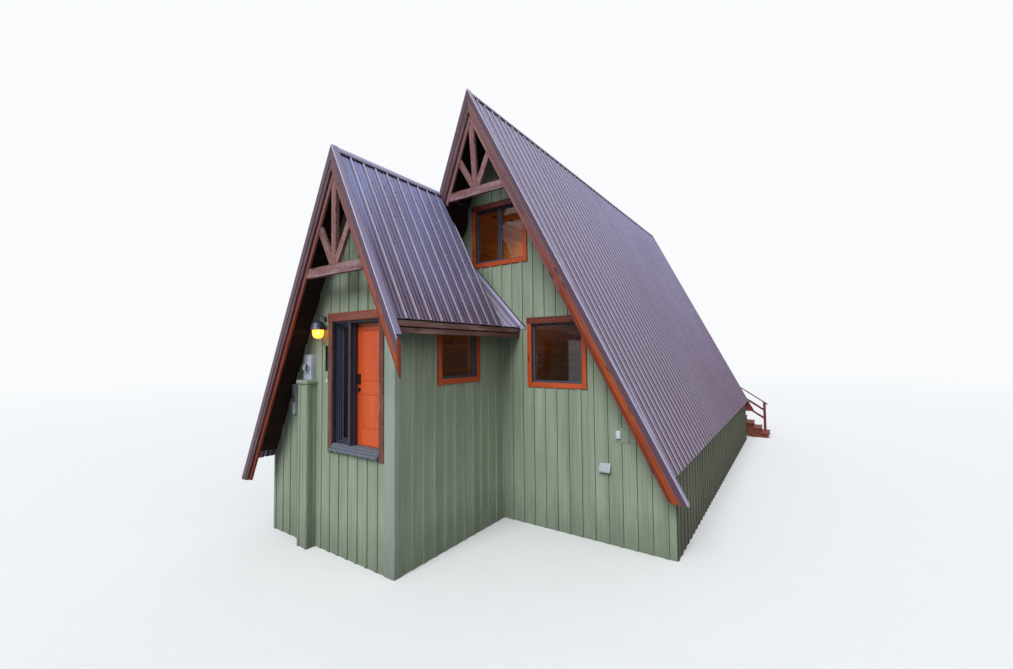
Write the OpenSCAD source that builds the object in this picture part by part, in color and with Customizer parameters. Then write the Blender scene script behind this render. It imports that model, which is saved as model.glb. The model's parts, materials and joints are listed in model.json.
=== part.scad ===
// A-frame cabin with a lower A-frame entry wing. Millimetres, +Z up.
// The front gables face -Y and both ridges run along Y.
// Heights are measured from the lowest point where the walls meet the ground.

/* [Main roof] */
// Height of the main ridge, where the two roofing planes meet
ridge_h = 8380; // [7000:10:10200]
// Slope of every main and wing roof plane, degrees
roof_pitch = 63.7; // [61:0.1:66]
// Half the width over the skirt walls
half_w = 3400; // [3000:10:3700]
// Length between the outer faces of the gable walls
body_len = 11170; // [8000:10:14000]
// How far the roofing runs past the skirt wall
eave_over = 55; // [30:5:120]
// Overhang of the front rake at the ridge
prow_top = 1085; // [700:5:1400]
// Overhang of the front rake at its foot
prow_foot = 386; // [250:5:600]
// How far the rakes' feet hang below the main eaves
tail_drop = 369.3; // [200:0.1:600]
// Overhang of the rear rake
rear_over = 440; // [250:5:700]

/* [Entry wing] */
// How far the wing ridge lies below the main ridge, in the main left slope
wing_drop = 1772; // [1500:2:2100]
// Length of the wing in front of the main gable wall
wing_len = 2875; // [2500:5:3500]
// Overhang of the wing's front rake
wing_over = 495; // [300:5:700]
// Outer face of the wing's side wall, from the main ridge line
wing_side_x = 40; // [-40:5:120]
// Edge of the wing's high eave, from the main ridge line
wing_eave_x = 485; // [450:5:600]
// Slope of the cricket between the wing roof and the gable wall, degrees
cricket_pitch = 47; // [42:1:50]

/* [Structure] */
// Thickness of the outer walls
wall_t = 180; // [120:5:240]
// Thickness of the whole roof between the walls, square to the slope
roof_t = 180; // [140:5:220]
// Thickness of the roof boards, which run on into the overhangs
board_t = 44; // [30:2:60]
// Thickness of the cricket deck, square to its slope
cricket_t = 100; // [60:5:140]
// Thickness of the panel that closes the wing roof's inner end
cheek_t = 30; // [20:2:50]
// Height of the ground floor
floor_h = 1815; // [1700:5:1900]
// Thickness of both floors
floor_t = 200; // [120:10:260]
// Height of the upper floor
loft_h = 4500; // [4400:10:4700]
// Height at which the front gable wall is split into pieces
split_h = 4110; // [4080:5:4200]
// Clearance between sloping faces that bear on each other
seat = 0.2; // [0.1:0.1:0.5]

/* [Roofing] */
// Modelled thickness of the flat pan
pan_t = 6; // [3:1:12]
// Height of a rib above the pan
rib_h = 20; // [12:1:32]
// Width of a rib at its top
rib_top = 22; // [12:1:40]
// Width of a rib at its base
rib_base = 52; // [42:1:80]
// Spacing of the ribs
rib_pitch = 246; // [200:1:320]
// Thickness of ridge caps and rake trims
trim_t = 6; // [3:1:10]
// Width of each arm of a ridge cap, measured level
cap_w = 75; // [60:5:180]
// Width of the rake trim's flange on the roofing
flange_w = 115; // [80:5:160]
// Depth of the rake trim's face below the roofing
trim_drop = 80; // [60:5:100]

/* [Rakes and gable trusses] */
// Thickness of a barge board
barge_t = 38; // [25:1:50]
// Depth of the outer barge board below the roofing
barge_d = 172; // [140:2:200]
// Depth of the inner barge board below the roofing
under_barge_d = 248; // [220:2:280]
// Depth of the wing's outer barge board below the roofing
wing_barge_d = 152; // [130:2:180]
// Depth of the wing's inner barge board below the roofing
wing_under_barge_d = 214; // [190:2:250]
// Depth of the gable truss timbers along Y
truss_t = 110; // [80:5:140]
// Height of the collar beam
collar_d = 168; // [120:2:200]
// Width of the king post
king_w = 150; // [100:5:180]
// Width of the struts
strut_w = 128; // [90:2:150]
// Angle of the struts above level, degrees
strut_a = 61; // [55:1:65]
// How far the main collar beam's centre line lies below the ridge
main_collar_drop = 1875; // [1700:5:2300]
// How far the wing collar beam's centre line lies below the wing ridge
wing_collar_drop = 1918; // [1700:2:2300]
// Thickness of the upper eave fascia
fascia_t = 38; // [25:1:50]
// How far the eave fascia hangs below the wing's eave
fascia_drop = 202; // [180:1:300]

/* [Windows] */
// Width of a side or bottom casing board
casing_w = 95; // [70:1:120]
// Height of a window's head casing
head_w = 128; // [100:1:160]
// How far a casing stands out of the wall
casing_out = 36; // [20:1:50]
// Width of a window's sash frame
sash_w = 52; // [35:1:70]
// Depth of a window's sash frame
sash_d = 70; // [50:1:100]
// Depth from the wall's face to a sash frame
sash_in = 30; // [15:1:50]
// Thickness of the glazing
glass_t = 20; // [12:1:28]
// Width of the frame round the opening pane of an upper window
casement_w = 26; // [18:1:40]
// Depth of that frame
casement_t = 15; // [8:1:18]

/* [Entry door] */
// Width of the door leaf
leaf_w = 760; // [700:5:820]
// Height of the door leaf
leaf_h = 2024; // [1980:2:2060]
// Thickness of the door leaf
leaf_t = 45; // [38:1:56]
// Right edge of the leaf, from the main ridge line
leaf_x = -280; // [-320:5:-250]
// Running gap round the leaf
leaf_gap = 7.5; // [7:0.5:9]
// Width of the fixed light's glass beside the door
side_lite_w = 250; // [180:5:300]
// Width of the entry posts
post_w = 105; // [80:5:130]
// How far the entry posts stand out of the wall
post_out = 42; // [30:2:90]
// Height of the entry header
header_d = 146; // [110:2:170]
// Depth of the entry posts' feet below the ground floor
foot_drop = 125; // [40:5:300]
// Height of each ledge under the threshold
ledge_h = 40; // [25:1:60]
// How far each ledge stands out beyond the one above
ledge_out = 50; // [20:1:70]

/* [Rear deck and stair] */
// Depth of the deck from the rear wall
deck_dy = 1580; // [1400:10:2000]
// Left edge of the deck
deck_x0 = -1600; // [-2200:10:-1300]
// Right edge of the deck, where the stair starts
deck_x1 = 1750; // [1600:10:2000]
// Height of the deck
deck_h = 1755; // [1700:5:1800]
// Number of risers in the stair
risers = 10; // [9:1:12]
// Going of each tread
going = 260; // [240:5:300]
// Width of the stair
stair_w = 960; // [850:10:1050]
// Height of the handrail above the deck
rail_h = 960; // [900:10:1070]
// Width of a square deck post
deck_post = 140; // [100:5:160]
// Width of a square rail post
rail_post = 90; // [70:5:110]

/* [Hidden] */
$fn = 48;

tp = tan(roof_pitch);
cp = cos(roof_pitch);
sp = sin(roof_pitch);
tc = tan(cricket_pitch);
cc = cos(cricket_pitch);
far = max(9000, 1.07 * ridge_h);
truss_in = 10;

// Depths below the pan of the roofing, square to the slope
deck_top = pan_t + seat;
board_low = deck_top + board_t;
lining_low = deck_top + roof_t;
cricket_low = deck_top + cricket_t;
wall_top = board_low + seat;
lining_seat = lining_low + seat;
flange_low = -rib_h;
trim_up = flange_low - trim_t;

// The wing ridge lies where the wing's right slope leaves the main left slope
wing_ridge_h = ridge_h - wing_drop;
wing_x = -wing_drop / tp;
foot_h = ridge_h - (half_w + eave_over) * tp - tail_drop;
main_collar_h = ridge_h - main_collar_drop;
wing_collar_h = wing_ridge_h - wing_collar_drop;
siding_t = 25;
skirt_in = half_w - wall_t;
deck_end = half_w - siding_t;
rear_y = body_len + rear_over;
wing_front = -wing_len - wing_over;
side_in = wing_side_x - wall_t;
fascia_x = wing_eave_x - 17;
wing_tail_x = wing_eave_x + 170;
rafter_w = 40;
rafter_step = 610;
wing_deck_end = fascia_x - fascia_t;
wing_eave_h = wing_ridge_h - (wing_eave_x - wing_x) * tp;
fascia_h = wing_eave_h - fascia_drop;

// Height of the main slope, the wing's right slope and the cricket, at depth d below the pan
function zs(x, d) = ridge_h - abs(x) * tp - d / cp;
function wz(x, d) = wing_ridge_h - (x - wing_x) * tp - d / cp;
function cz(x, d) = wing_eave_h + (wing_eave_x - x) * tc - d / cc;
// Half-width of the main roof at height z and depth d
function xs(z, d) = (ridge_h - d / cp - z) / tp;
// Where the wing's right slope is at height z
function xw(z, d) = wing_x + (wing_ridge_h - d / cp - z) / tp;
// Where the main left slope at depth d meets the wing's right slope at depth e, and the cricket at depth e
function x_left_wing(d, e) = (wing_ridge_h + wing_x * tp - e / cp - ridge_h + d / cp) / (2 * tp);
function x_left_cricket(d, e) = (cz(0, e) - ridge_h + d / cp) / (tp + tc);

// Prow: the front rake leans forward as it rises
trim_top_h = ridge_h - trim_up / cp;
prow_tilt = atan((prow_top - prow_foot) / (trim_top_h - foot_h));

main_green = [0.42, 0.49, 0.38];
roof_plum = [0.36, 0.31, 0.36];
cedar = [0.62, 0.27, 0.12];
timber = [0.45, 0.27, 0.20];
dark_grey = [0.20, 0.21, 0.25];
light_grey = [0.62, 0.65, 0.66];
inside_pine = [0.70, 0.52, 0.33];

// Outline in X and Z, carried along Y
module along_y(y0, y1) {
    translate([0, y1, 0]) rotate([90, 0, 0]) linear_extrude(height = y1 - y0) children();
}

// Frame whose Y is square to the prowed front rake and starts in its face
module prow() {
    translate([0, -prow_foot, foot_h]) rotate([prow_tilt, 0, 0]) children();
}

module prow_slab(y0, y1) {
    prow() translate([-far, y0, -far]) cube([2 * far, y1 - y0, 2 * far]);
}

// Everything in front of the prow at depth y, right of x
module before_prow(y, x = -far) {
    prow() translate([x, y - far, -far]) cube([2 * far, far, 2 * far]);
}

// Outlines of roof bands between two depths
module slope_band(d0, d1, x1) {
    polygon([[0, zs(0, d0)], [x1, zs(x1, d0)], [x1, zs(x1, d1)], [0, zs(0, d1)]]);
}

module rake_band(d0, d1) {
    polygon([[0, zs(0, d0)], [xs(foot_h, d0), foot_h], [xs(foot_h, d1), foot_h], [0, zs(0, d1)]]);
}

module left_band_to_wing(d0, d1, e) {
    a = x_left_wing(d0, e);
    b = x_left_wing(d1, e);
    polygon([[0, zs(0, d0)], [a, zs(a, d0)], [b, zs(b, d1)], [0, zs(0, d1)]]);
}

module wing_left_band(d0, d1) {
    polygon([
        [wing_x, zs(wing_x, d0)], [-xs(foot_h, d0), foot_h],
        [-xs(foot_h, d1), foot_h], [wing_x, zs(wing_x, d1)]
    ]);
}

module wing_right_band(d0, d1, x1) {
    x0 = wing_x + seat;
    polygon([[x0, wz(x0, d0)], [x1, wz(x1, d0)], [x1, wz(x1, d1)], [x0, wz(x0, d1)]]);
}

// Walls

module gable_outline() {
    up = zs(half_w, deck_top);
    step_top = zs(deck_end, deck_top);
    step_low = zs(deck_end, wall_top);
    polygon([
        [-half_w, 0], [half_w, 0], [half_w, up], [deck_end, step_top], [deck_end, step_low],
        [0, zs(0, wall_top)],
        [-deck_end, step_low], [-deck_end, step_top], [-half_w, up]
    ]);
}

module skirt_profile() {
    polygon([
        [skirt_in, 0], [half_w, 0], [half_w, zs(half_w, deck_top)],
        [deck_end, zs(deck_end, deck_top)], [deck_end, zs(deck_end, wall_top)],
        [skirt_in, zs(skirt_in, wall_top)]
    ]);
}

module right_skirt_wall() {
    color(main_green) along_y(wall_t, body_len - wall_t) skirt_profile();
}

module left_skirt_wall() {
    color(main_green) along_y(wall_t - wing_len, body_len - wall_t)
        mirror([1, 0]) skirt_profile();
}

// Windows are given by the outer edges of their casings along the wall and in height
lower_win = [648, 1908, 2675, 4045];
upper_win = [-742, 660, ridge_h - 3188, ridge_h - 1822];
side_win = [-1958, -816, 2817, 4045];
rear_low_win = [-1908, -648, 2675, 4045];
rear_door_win = [-560, 1140, deck_h + 5, 4045];
reveal = 12;

function hole(w) = [
    w[0] + casing_w - reveal, w[1] - casing_w + reveal,
    w[2] + casing_w - reveal, w[3] - head_w + reveal
];

module window_hole(w) {
    h = hole(w);
    translate([h[0], -wall_t, h[2]]) cube([h[1] - h[0], 3 * wall_t, h[3] - h[2]]);
}

// Frames with local X along the wall and local -Y out of it
module at_side() {
    translate([wing_side_x, 0, 0]) rotate([0, 0, 90]) children();
}

module at_rear() {
    translate([0, body_len, 0]) rotate([0, 0, 180]) children();
}

module main_wall_right() {
    color(main_green) difference() {
        along_y(0, wall_t) polygon([
            [side_in, 0], [half_w, 0], [half_w, zs(half_w, deck_top)],
            [deck_end, zs(deck_end, deck_top)], [deck_end, zs(deck_end, wall_top)],
            [xs(split_h, wall_top), split_h], [side_in, split_h]
        ]);
        window_hole(lower_win);
    }
}

// Left of the wing ridge the lining runs on into the wing, so the wall stops under it
module main_wall_upper() {
    color(main_green) difference() {
        along_y(0, wall_t) polygon([
            [-xs(split_h, lining_seat), split_h], [xs(split_h, wall_top), split_h],
            [0, zs(0, wall_top)], [wing_x, zs(wing_x, wall_top)],
            [wing_x, zs(wing_x, lining_seat)]
        ]);
        window_hole(upper_win);
    }
}

module main_rear_wall() {
    color(main_green) difference() {
        along_y(body_len - wall_t, body_len) gable_outline();
        at_rear() {
            window_hole(rear_low_win);
            window_hole(rear_door_win);
            window_hole(upper_win);
        }
    }
}

// Doorway in the wing's front wall: a leaf on the right, a narrow fixed light on the left
jamb_t = 35;
mullion_w = 60;
sill_t = 25;
stop_w = 18;
lite_frame = 80;
door_y = -wing_len + wall_t - leaf_t;
leaf_left = leaf_x - leaf_w;
rough_x1 = leaf_x + leaf_gap + jamb_t;
lite_x1 = leaf_left - leaf_gap - mullion_w;
lite_x0 = lite_x1 - 2 * lite_frame - side_lite_w;
rough_x0 = lite_x0 - jamb_t;
sill_top = floor_h + sill_t;
leaf_z = sill_top + leaf_gap;
clear_h = leaf_h + 2 * leaf_gap;
rough_top = sill_top + clear_h + jamb_t;

module wing_wall_outline() {
    polygon([
        [-half_w, 0], [wing_side_x, 0], [wing_side_x, wz(wing_side_x, wall_top)],
        [wing_x, wz(wing_x, wall_top)], [-deck_end, zs(deck_end, wall_top)],
        [-deck_end, zs(deck_end, deck_top)], [-half_w, zs(half_w, deck_top)]
    ]);
}

module wing_wall(x0, x1, z0, z1) {
    color(main_green) along_y(-wing_len, -wing_len + wall_t) intersection() {
        wing_wall_outline();
        translate([x0, z0]) square([x1 - x0, z1 - z0]);
    }
}

module wing_wall_left() {
    wing_wall(-half_w, rough_x0, 0, far);
}

module wing_wall_right() {
    wing_wall(rough_x1, wing_side_x, 0, far);
}

module wing_wall_over_door() {
    wing_wall(rough_x0, rough_x1, rough_top, far);
}

module wing_wall_under_door() {
    wing_wall(rough_x0, rough_x1, 0, floor_h);
}

// The space of the cricket and its cheek, above the underside of the cricket deck
module above_cricket_underside() {
    intersection() {
        prow_slab(-cheek_t - seat, far);
        along_y(-wing_len, wall_t) polygon([
            [-half_w, cz(-half_w, cricket_low + seat)], [half_w, cz(half_w, cricket_low + seat)],
            [half_w, far], [-half_w, far]
        ]);
    }
}

module wing_side_wall() {
    color(main_green) difference() {
        along_y(-wing_len + wall_t, 0) polygon([
            [side_in, 0], [wing_side_x, 0],
            [wing_side_x, wz(wing_side_x, wall_top)], [side_in, wz(side_in, wall_top)]
        ]);
        above_cricket_underside();
        at_side() window_hole(side_win);
    }
}

// Floors: from deck to deck, or from the left deck to x1 beside the wing's side wall
module between_skirts(top) {
    translate([-skirt_in, top - floor_t]) square([2 * skirt_in, floor_t]);
}

module floor_full(top) {
    low = top - floor_t;
    intersection() {
        between_skirts(top);
        polygon([
            [-xs(low, lining_seat), low], [xs(low, lining_seat), low],
            [xs(top, lining_seat), top], [-xs(top, lining_seat), top]
        ]);
    }
}

module floor_left(top, x1) {
    low = top - floor_t;
    intersection() {
        between_skirts(top);
        polygon([
            [-xs(low, lining_seat), low], [x1, low], [x1, top], [-xs(top, lining_seat), top]
        ]);
    }
}

module main_floor() {
    color(inside_pine) {
        along_y(wall_t, body_len - wall_t) floor_full(floor_h);
        along_y(0, wall_t) floor_left(floor_h, side_in);
    }
}

module wing_floor() {
    color(inside_pine) along_y(-wing_len + wall_t, 0) floor_left(floor_h, side_in);
}

module loft_floor() {
    color(inside_pine) along_y(wall_t, body_len - wall_t) floor_full(loft_h);
}

// Roof decks: boards out to the rakes and eaves, and the thicker roof between the walls
module lining_band(x1) {
    slope_band(board_low, lining_low, x1);
}

module right_roof_deck() {
    color(timber) {
        difference() {
            along_y(-2 * prow_top, rear_y - 2 * barge_t) slope_band(deck_top, board_low, deck_end);
            before_prow(2 * barge_t + seat);
        }
        along_y(wall_t, body_len - wall_t) lining_band(skirt_in);
    }
}

module left_roof_deck() {
    color(timber) {
        difference() {
            along_y(wing_front + 2 * barge_t, rear_y - 2 * barge_t)
                mirror([1, 0]) slope_band(deck_top, board_low, deck_end);
            before_prow(2 * barge_t + seat, wing_x);
        }
        along_y(wall_t, body_len - wall_t) mirror([1, 0]) lining_band(skirt_in);
        along_y(-wing_len + wall_t, wall_t) mirror([1, 0]) intersection() {
            lining_band(skirt_in);
            translate([-wing_x, 0]) square([far, far]);
        }
    }
}

// Rafter tails carry the wing's eave beyond its side wall
module rafter_tail(y) {
    along_y(y, y + rafter_w) polygon([
        [wing_side_x, wz(wing_side_x, board_low)], [wing_deck_end, wz(wing_deck_end, board_low)],
        [wing_deck_end, fascia_h], [xw(fascia_h, lining_low), fascia_h],
        [wing_side_x, wz(wing_side_x, lining_low)]
    ]);
}

module wing_roof_deck() {
    color(timber) {
        difference() {
            along_y(wing_front + 2 * barge_t, 0)
                wing_right_band(deck_top, board_low, wing_deck_end);
            prow_slab(0, far);
        }
        difference() {
            along_y(-wing_len + wall_t, 0) wing_right_band(board_low, lining_low, side_in);
            prow_slab(-cheek_t - seat, far);
        }
        for (i = [0:3]) rafter_tail(-wing_len + i * rafter_step);
    }
}

// The cricket closes the pocket behind the prow; its cheek closes the wing roof's inner end
module cricket_deck() {
    a = x_left_cricket(lining_seat, deck_top);
    b = x_left_cricket(lining_seat, cricket_low);
    meet = (cz(0, cricket_low) - wz(0, board_low)) / (tc - tp);
    end = min(meet, wing_deck_end);
    color(timber) {
        difference() {
            along_y(-2 * prow_top, 0) polygon([
                [a, cz(a, deck_top)], [wing_deck_end, cz(wing_deck_end, deck_top)],
                [wing_deck_end, cz(wing_deck_end, cricket_low)], [b, cz(b, cricket_low)]
            ]);
            before_prow(0);
        }
        intersection() {
            along_y(-2 * prow_top, 0) polygon([
                [end, cz(end, cricket_low)], [end, wz(end, wall_top)],
                [wing_x, wz(wing_x, wall_top)], [wing_x, wz(wing_x, lining_seat)],
                [b, cz(b, cricket_low)]
            ]);
            prow_slab(-cheek_t, 0);
        }
    }
}

// Ribbed roofing: a flat pan with tapered ribs that run down the slope
rib_start = -964;
cricket_rib_start = -520;

rib_top_h = rib_h - seat;

function rib_points(y) = [
    [y - rib_base / 2, 0], [y - rib_top / 2, rib_top_h],
    [y + rib_top / 2, rib_top_h], [y + rib_base / 2, 0]
];

// Profile between y0 and y1, with every rib that fits whole between them
module rib_profile(y0, y1, start) {
    i0 = ceil((y0 + rib_base - start) / rib_pitch);
    i1 = floor((y1 - rib_base - start) / rib_pitch);
    polygon(concat(
        [[y0, -pan_t], [y0, 0]],
        [for (i = [i0:i1]) each rib_points(start + i * rib_pitch)],
        [[y1, 0], [y1, -pan_t]]
    ));
}

// A sheet that starts at ridge point [x, z] and runs down to the right
module rib_sheet(x, z, pitch, y0, y1, x_end, start) {
    run = (x_end - x) / cos(pitch);
    past = 3 * rib_h;
    translate([x, 0, z]) rotate([0, pitch, 0]) rotate([90, 0, 90])
        translate([0, 0, -past]) linear_extrude(height = run + past) rib_profile(y0, y1, start);
}

module left_of(x) {
    translate([x - far, -far, -far]) cube([far, 3 * far, 2 * far]);
}

module right_roofing() {
    color(roof_plum) difference() {
        rib_sheet(0, ridge_h, roof_pitch, -1.2 * prow_top, rear_y, half_w + eave_over, rib_start);
        left_of(0);
        before_prow(seat);
    }
}

module left_roofing() {
    color(roof_plum) difference() {
        mirror([1, 0, 0])
            rib_sheet(0, ridge_h, roof_pitch, wing_front, rear_y, half_w + eave_over, rib_start);
        mirror([1, 0, 0]) left_of(0);
        before_prow(seat, wing_x);
    }
}

module wing_roofing() {
    a = x_left_cricket(lining_low, -rib_h) - 100;
    color(roof_plum) {
        difference() {
            rib_sheet(wing_x, wing_ridge_h, roof_pitch, wing_front, 0, wing_eave_x, rib_start);
            left_of(wing_x + seat);
            prow_slab(0, far);
        }
        difference() {
            rib_sheet(a, cz(a, 0), cricket_pitch, -1.2 * prow_top, 0, wing_eave_x, cricket_rib_start);
            before_prow(0);
            along_y(-2 * prow_top, wall_t)
                polygon([
                    [-far, zs(far, lining_seat)], [0, zs(0, lining_seat)], [-far, zs(0, lining_seat)]
                ]);
        }
    }
}

module cap_outline(x) {
    polygon([
        [x - cap_w, zs(x - cap_w, trim_up)], [x, zs(x, trim_up)],
        [x, zs(x, flange_low)], [x - cap_w, zs(x - cap_w, flange_low)]
    ]);
}

module main_ridge_cap() {
    difference() {
        along_y(-2 * prow_top, rear_y - flange_w) {
            cap_outline(0);
            mirror([1, 0]) cap_outline(0);
        }
        before_prow(flange_w);
    }
}

module wing_ridge_cap() {
    difference() {
        along_y(wing_front + flange_w, 0) {
            cap_outline(wing_x);
            translate([2 * wing_x, 0]) mirror([1, 0]) cap_outline(wing_x);
        }
        prow_slab(-trim_t, far);
    }
}

module ridge_caps() {
    color(roof_plum) {
        main_ridge_cap();
        wing_ridge_cap();
    }
}

// Barge boards: an outer board with a deeper board behind it, cut level at the foot
module front_barge_right() {
    color(timber) {
        intersection() {
            along_y(-2 * prow_top, 0) rake_band(deck_top, barge_d);
            prow_slab(seat, barge_t);
        }
        intersection() {
            along_y(-2 * prow_top, 0) rake_band(deck_top, under_barge_d);
            prow_slab(barge_t, 2 * barge_t);
        }
    }
}

module front_barge_left() {
    color(timber) {
        intersection() {
            along_y(-2 * prow_top, 0) left_band_to_wing(deck_top, barge_d, 0);
            prow_slab(seat, barge_t);
        }
        intersection() {
            along_y(-2 * prow_top, 0) left_band_to_wing(deck_top, under_barge_d, 0);
            prow_slab(barge_t, 2 * barge_t);
        }
    }
}

module rear_barge_right() {
    color(timber) {
        along_y(rear_y - barge_t, rear_y) rake_band(deck_top, barge_d);
        along_y(rear_y - 2 * barge_t, rear_y - barge_t) rake_band(deck_top, under_barge_d);
    }
}

module rear_barge_left() {
    mirror([1, 0, 0]) rear_barge_right();
}

module wing_barge_left() {
    color(timber) {
        along_y(wing_front, wing_front + barge_t) wing_left_band(deck_top, wing_barge_d);
        along_y(wing_front + barge_t, wing_front + 2 * barge_t)
            wing_left_band(deck_top, wing_under_barge_d);
    }
}

module wing_barge_right() {
    color(timber) {
        along_y(wing_front, wing_front + barge_t)
            wing_right_band(deck_top, wing_barge_d, wing_tail_x);
        along_y(wing_front + barge_t, wing_front + 2 * barge_t)
            wing_right_band(deck_top, wing_under_barge_d, wing_tail_x);
    }
}

// Rake trims: a folded strip with a face on the barge and a flange over the ribs
module front_rake_trim() {
    over_wing = trim_up - 8;
    intersection() {
        along_y(-2 * prow_top, 0) {
            rake_band(trim_up, trim_drop);
            left_band_to_wing(trim_up, trim_drop, over_wing);
        }
        prow_slab(-trim_t, 0);
    }
    intersection() {
        along_y(-2 * prow_top, 0) {
            rake_band(trim_up, flange_low);
            left_band_to_wing(trim_up, flange_low, over_wing);
        }
        prow_slab(-trim_t, flange_w);
    }
}

module rear_rake_trim() {
    along_y(rear_y, rear_y + trim_t) {
        rake_band(trim_up, trim_drop);
        mirror([1, 0]) rake_band(trim_up, trim_drop);
    }
    along_y(rear_y - flange_w, rear_y + trim_t) {
        rake_band(trim_up, flange_low);
        mirror([1, 0]) rake_band(trim_up, flange_low);
    }
}

// The wing trim's face ends plumb with the barge boards, its flange is cut level
trim_end_h = wing_eave_h - 230;

module wing_trim_right(d0, d1) {
    polygon([
        [wing_x, wz(wing_x, d0)], [xw(trim_end_h, d0), trim_end_h],
        [xw(trim_end_h, d1), trim_end_h], [wing_x, wz(wing_x, d1)]
    ]);
}

module wing_face_right(d0, d1) {
    x1 = wing_tail_x;
    polygon([
        [wing_x, wz(wing_x, d0)], [x1, wz(x1, d0)], [x1, wz(x1, d1)], [wing_x, wz(wing_x, d1)]
    ]);
}

module wing_rake_trim() {
    along_y(wing_front - trim_t, wing_front) {
        wing_left_band(trim_up, trim_drop);
        wing_face_right(trim_up, trim_drop);
    }
    along_y(wing_front - trim_t, wing_front + flange_w) {
        wing_left_band(trim_up, flange_low);
        wing_trim_right(trim_up, flange_low);
    }
}

module rake_trims() {
    color(roof_plum) {
        front_rake_trim();
        rear_rake_trim();
        wing_rake_trim();
    }
}

// Gable truss: collar beam, king post and two struts, cut along the inner barge board.
// The origin is under the apex at the collar's centre line, rise is up to the roofing.
module truss_outline(rise, under) {
    top = rise - under / cp;
    base_half = (top + rise) / tp;
    intersection() {
        union() {
            translate([-base_half, -collar_d / 2]) square([2 * base_half, collar_d]);
            translate([-king_w / 2, 0]) square([king_w, rise]);
            for (a = [strut_a, 180 - strut_a]) rotate(a)
                translate([0, -strut_w / 2]) square([rise, strut_w]);
        }
        polygon([[-base_half, -rise], [base_half, -rise], [0, top]]);
        translate([-base_half, -collar_d / 2]) square([2 * base_half, 2 * rise]);
    }
}

module main_gable_truss() {
    color(timber) intersection() {
        along_y(-2 * prow_top, 0) translate([0, main_collar_h])
            truss_outline(ridge_h - main_collar_h, under_barge_d + seat);
        prow_slab(truss_in, truss_in + truss_t);
    }
}

module wing_gable_truss() {
    color(timber) along_y(wing_front + truss_in, wing_front + truss_in + truss_t)
        translate([wing_x, wing_collar_h])
            truss_outline(wing_ridge_h - wing_collar_h, wing_under_barge_d + seat);
}

module eave_fascia() {
    lower_t = fascia_t - 14;
    step_h = fascia_h + 90;
    top_h = wing_eave_h - 6;
    color(timber) along_y(wing_front + 2 * barge_t, 0) polygon([
        [wing_deck_end, fascia_h], [wing_deck_end + lower_t, fascia_h],
        [wing_deck_end + lower_t, step_h], [fascia_x, step_h],
        [fascia_x, top_h], [wing_deck_end, top_h]
    ]);
}

// Windows: casing boards on the wall, a sash frame in the hole, panes in the frame
module casing(w) {
    ear = 12;
    proud = 4;
    translate([0, -casing_out, 0]) difference() {
        union() {
            translate([w[0], 0, w[2]]) cube([w[1] - w[0], casing_out, w[3] - w[2]]);
            translate([w[0] - ear, -proud, w[3] - head_w])
                cube([w[1] - w[0] + 2 * ear, casing_out + proud, head_w]);
        }
        translate([w[0] + casing_w, -casing_out, w[2] + casing_w])
            cube([w[1] - w[0] - 2 * casing_w, 3 * casing_out, w[3] - w[2] - casing_w - head_w]);
    }
}

function pane_w(w, panes) = (hole(w)[1] - hole(w)[0] - (panes + 1) * sash_w) / panes;

module pane(w, panes, y, depth) {
    h = hole(w);
    for (i = [0:panes - 1])
        translate([h[0] + sash_w + i * (pane_w(w, panes) + sash_w), y, h[2] + sash_w])
            cube([pane_w(w, panes), depth, h[3] - h[2] - 2 * sash_w]);
}

module sash(w, panes) {
    h = hole(w);
    difference() {
        translate([h[0], sash_in, h[2]]) cube([h[1] - h[0], sash_d, h[3] - h[2]]);
        pane(w, panes, 0, 2 * wall_t);
    }
}

// The opening half has a narrow frame of its own in front of its glass
module casement(w, panes) {
    h = hole(w);
    in = 8;
    x = h[0] + sash_w - in;
    z = h[2] + sash_w - in;
    wide = pane_w(w, panes) + 2 * in;
    high = h[3] - h[2] - 2 * sash_w + 2 * in;
    y = sash_in + 6;
    difference() {
        translate([x, y, z]) cube([wide, casement_t, high]);
        translate([x + casement_w, 0, z + casement_w])
            cube([wide - 2 * casement_w, wall_t, high - 2 * casement_w]);
    }
}

module glazing(w, panes) {
    pane(w, panes, sash_in + (sash_d - glass_t) / 2, glass_t);
}

module window_casings() {
    color(cedar) {
        casing(lower_win);
        casing(upper_win);
        at_side() casing(side_win);
        at_rear() casing(rear_low_win);
        at_rear() casing(rear_door_win);
        at_rear() casing(upper_win);
    }
}

module window_sashes() {
    color(dark_grey) {
        sash(lower_win, 1);
        sash(upper_win, 2);
        casement(upper_win, 2);
        at_side() sash(side_win, 1);
        at_rear() sash(rear_low_win, 1);
        at_rear() sash(rear_door_win, 2);
        at_rear() sash(upper_win, 2);
        at_rear() casement(upper_win, 2);
    }
}

lite_z = leaf_z + lite_frame;
lite_h = leaf_h - 2 * lite_frame;

module window_glass() {
    color([0.55, 0.65, 0.7, 0.5]) {
        glazing(lower_win, 1);
        glazing(upper_win, 2);
        at_side() glazing(side_win, 1);
        at_rear() glazing(rear_low_win, 1);
        at_rear() glazing(rear_door_win, 2);
        at_rear() glazing(upper_win, 2);
        translate([lite_x0 + lite_frame, door_y + (leaf_t - glass_t) / 2, lite_z])
            cube([side_lite_w, glass_t, lite_h]);
    }
}

// Entry: frame, stops and fixed light frame
hinge_x = leaf_x + leaf_gap / 2;
hinge_y = -wing_len + wall_t + 9;
hinge_heights = [leaf_z + 200, leaf_z + leaf_h / 2, leaf_z + leaf_h - 200];

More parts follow.
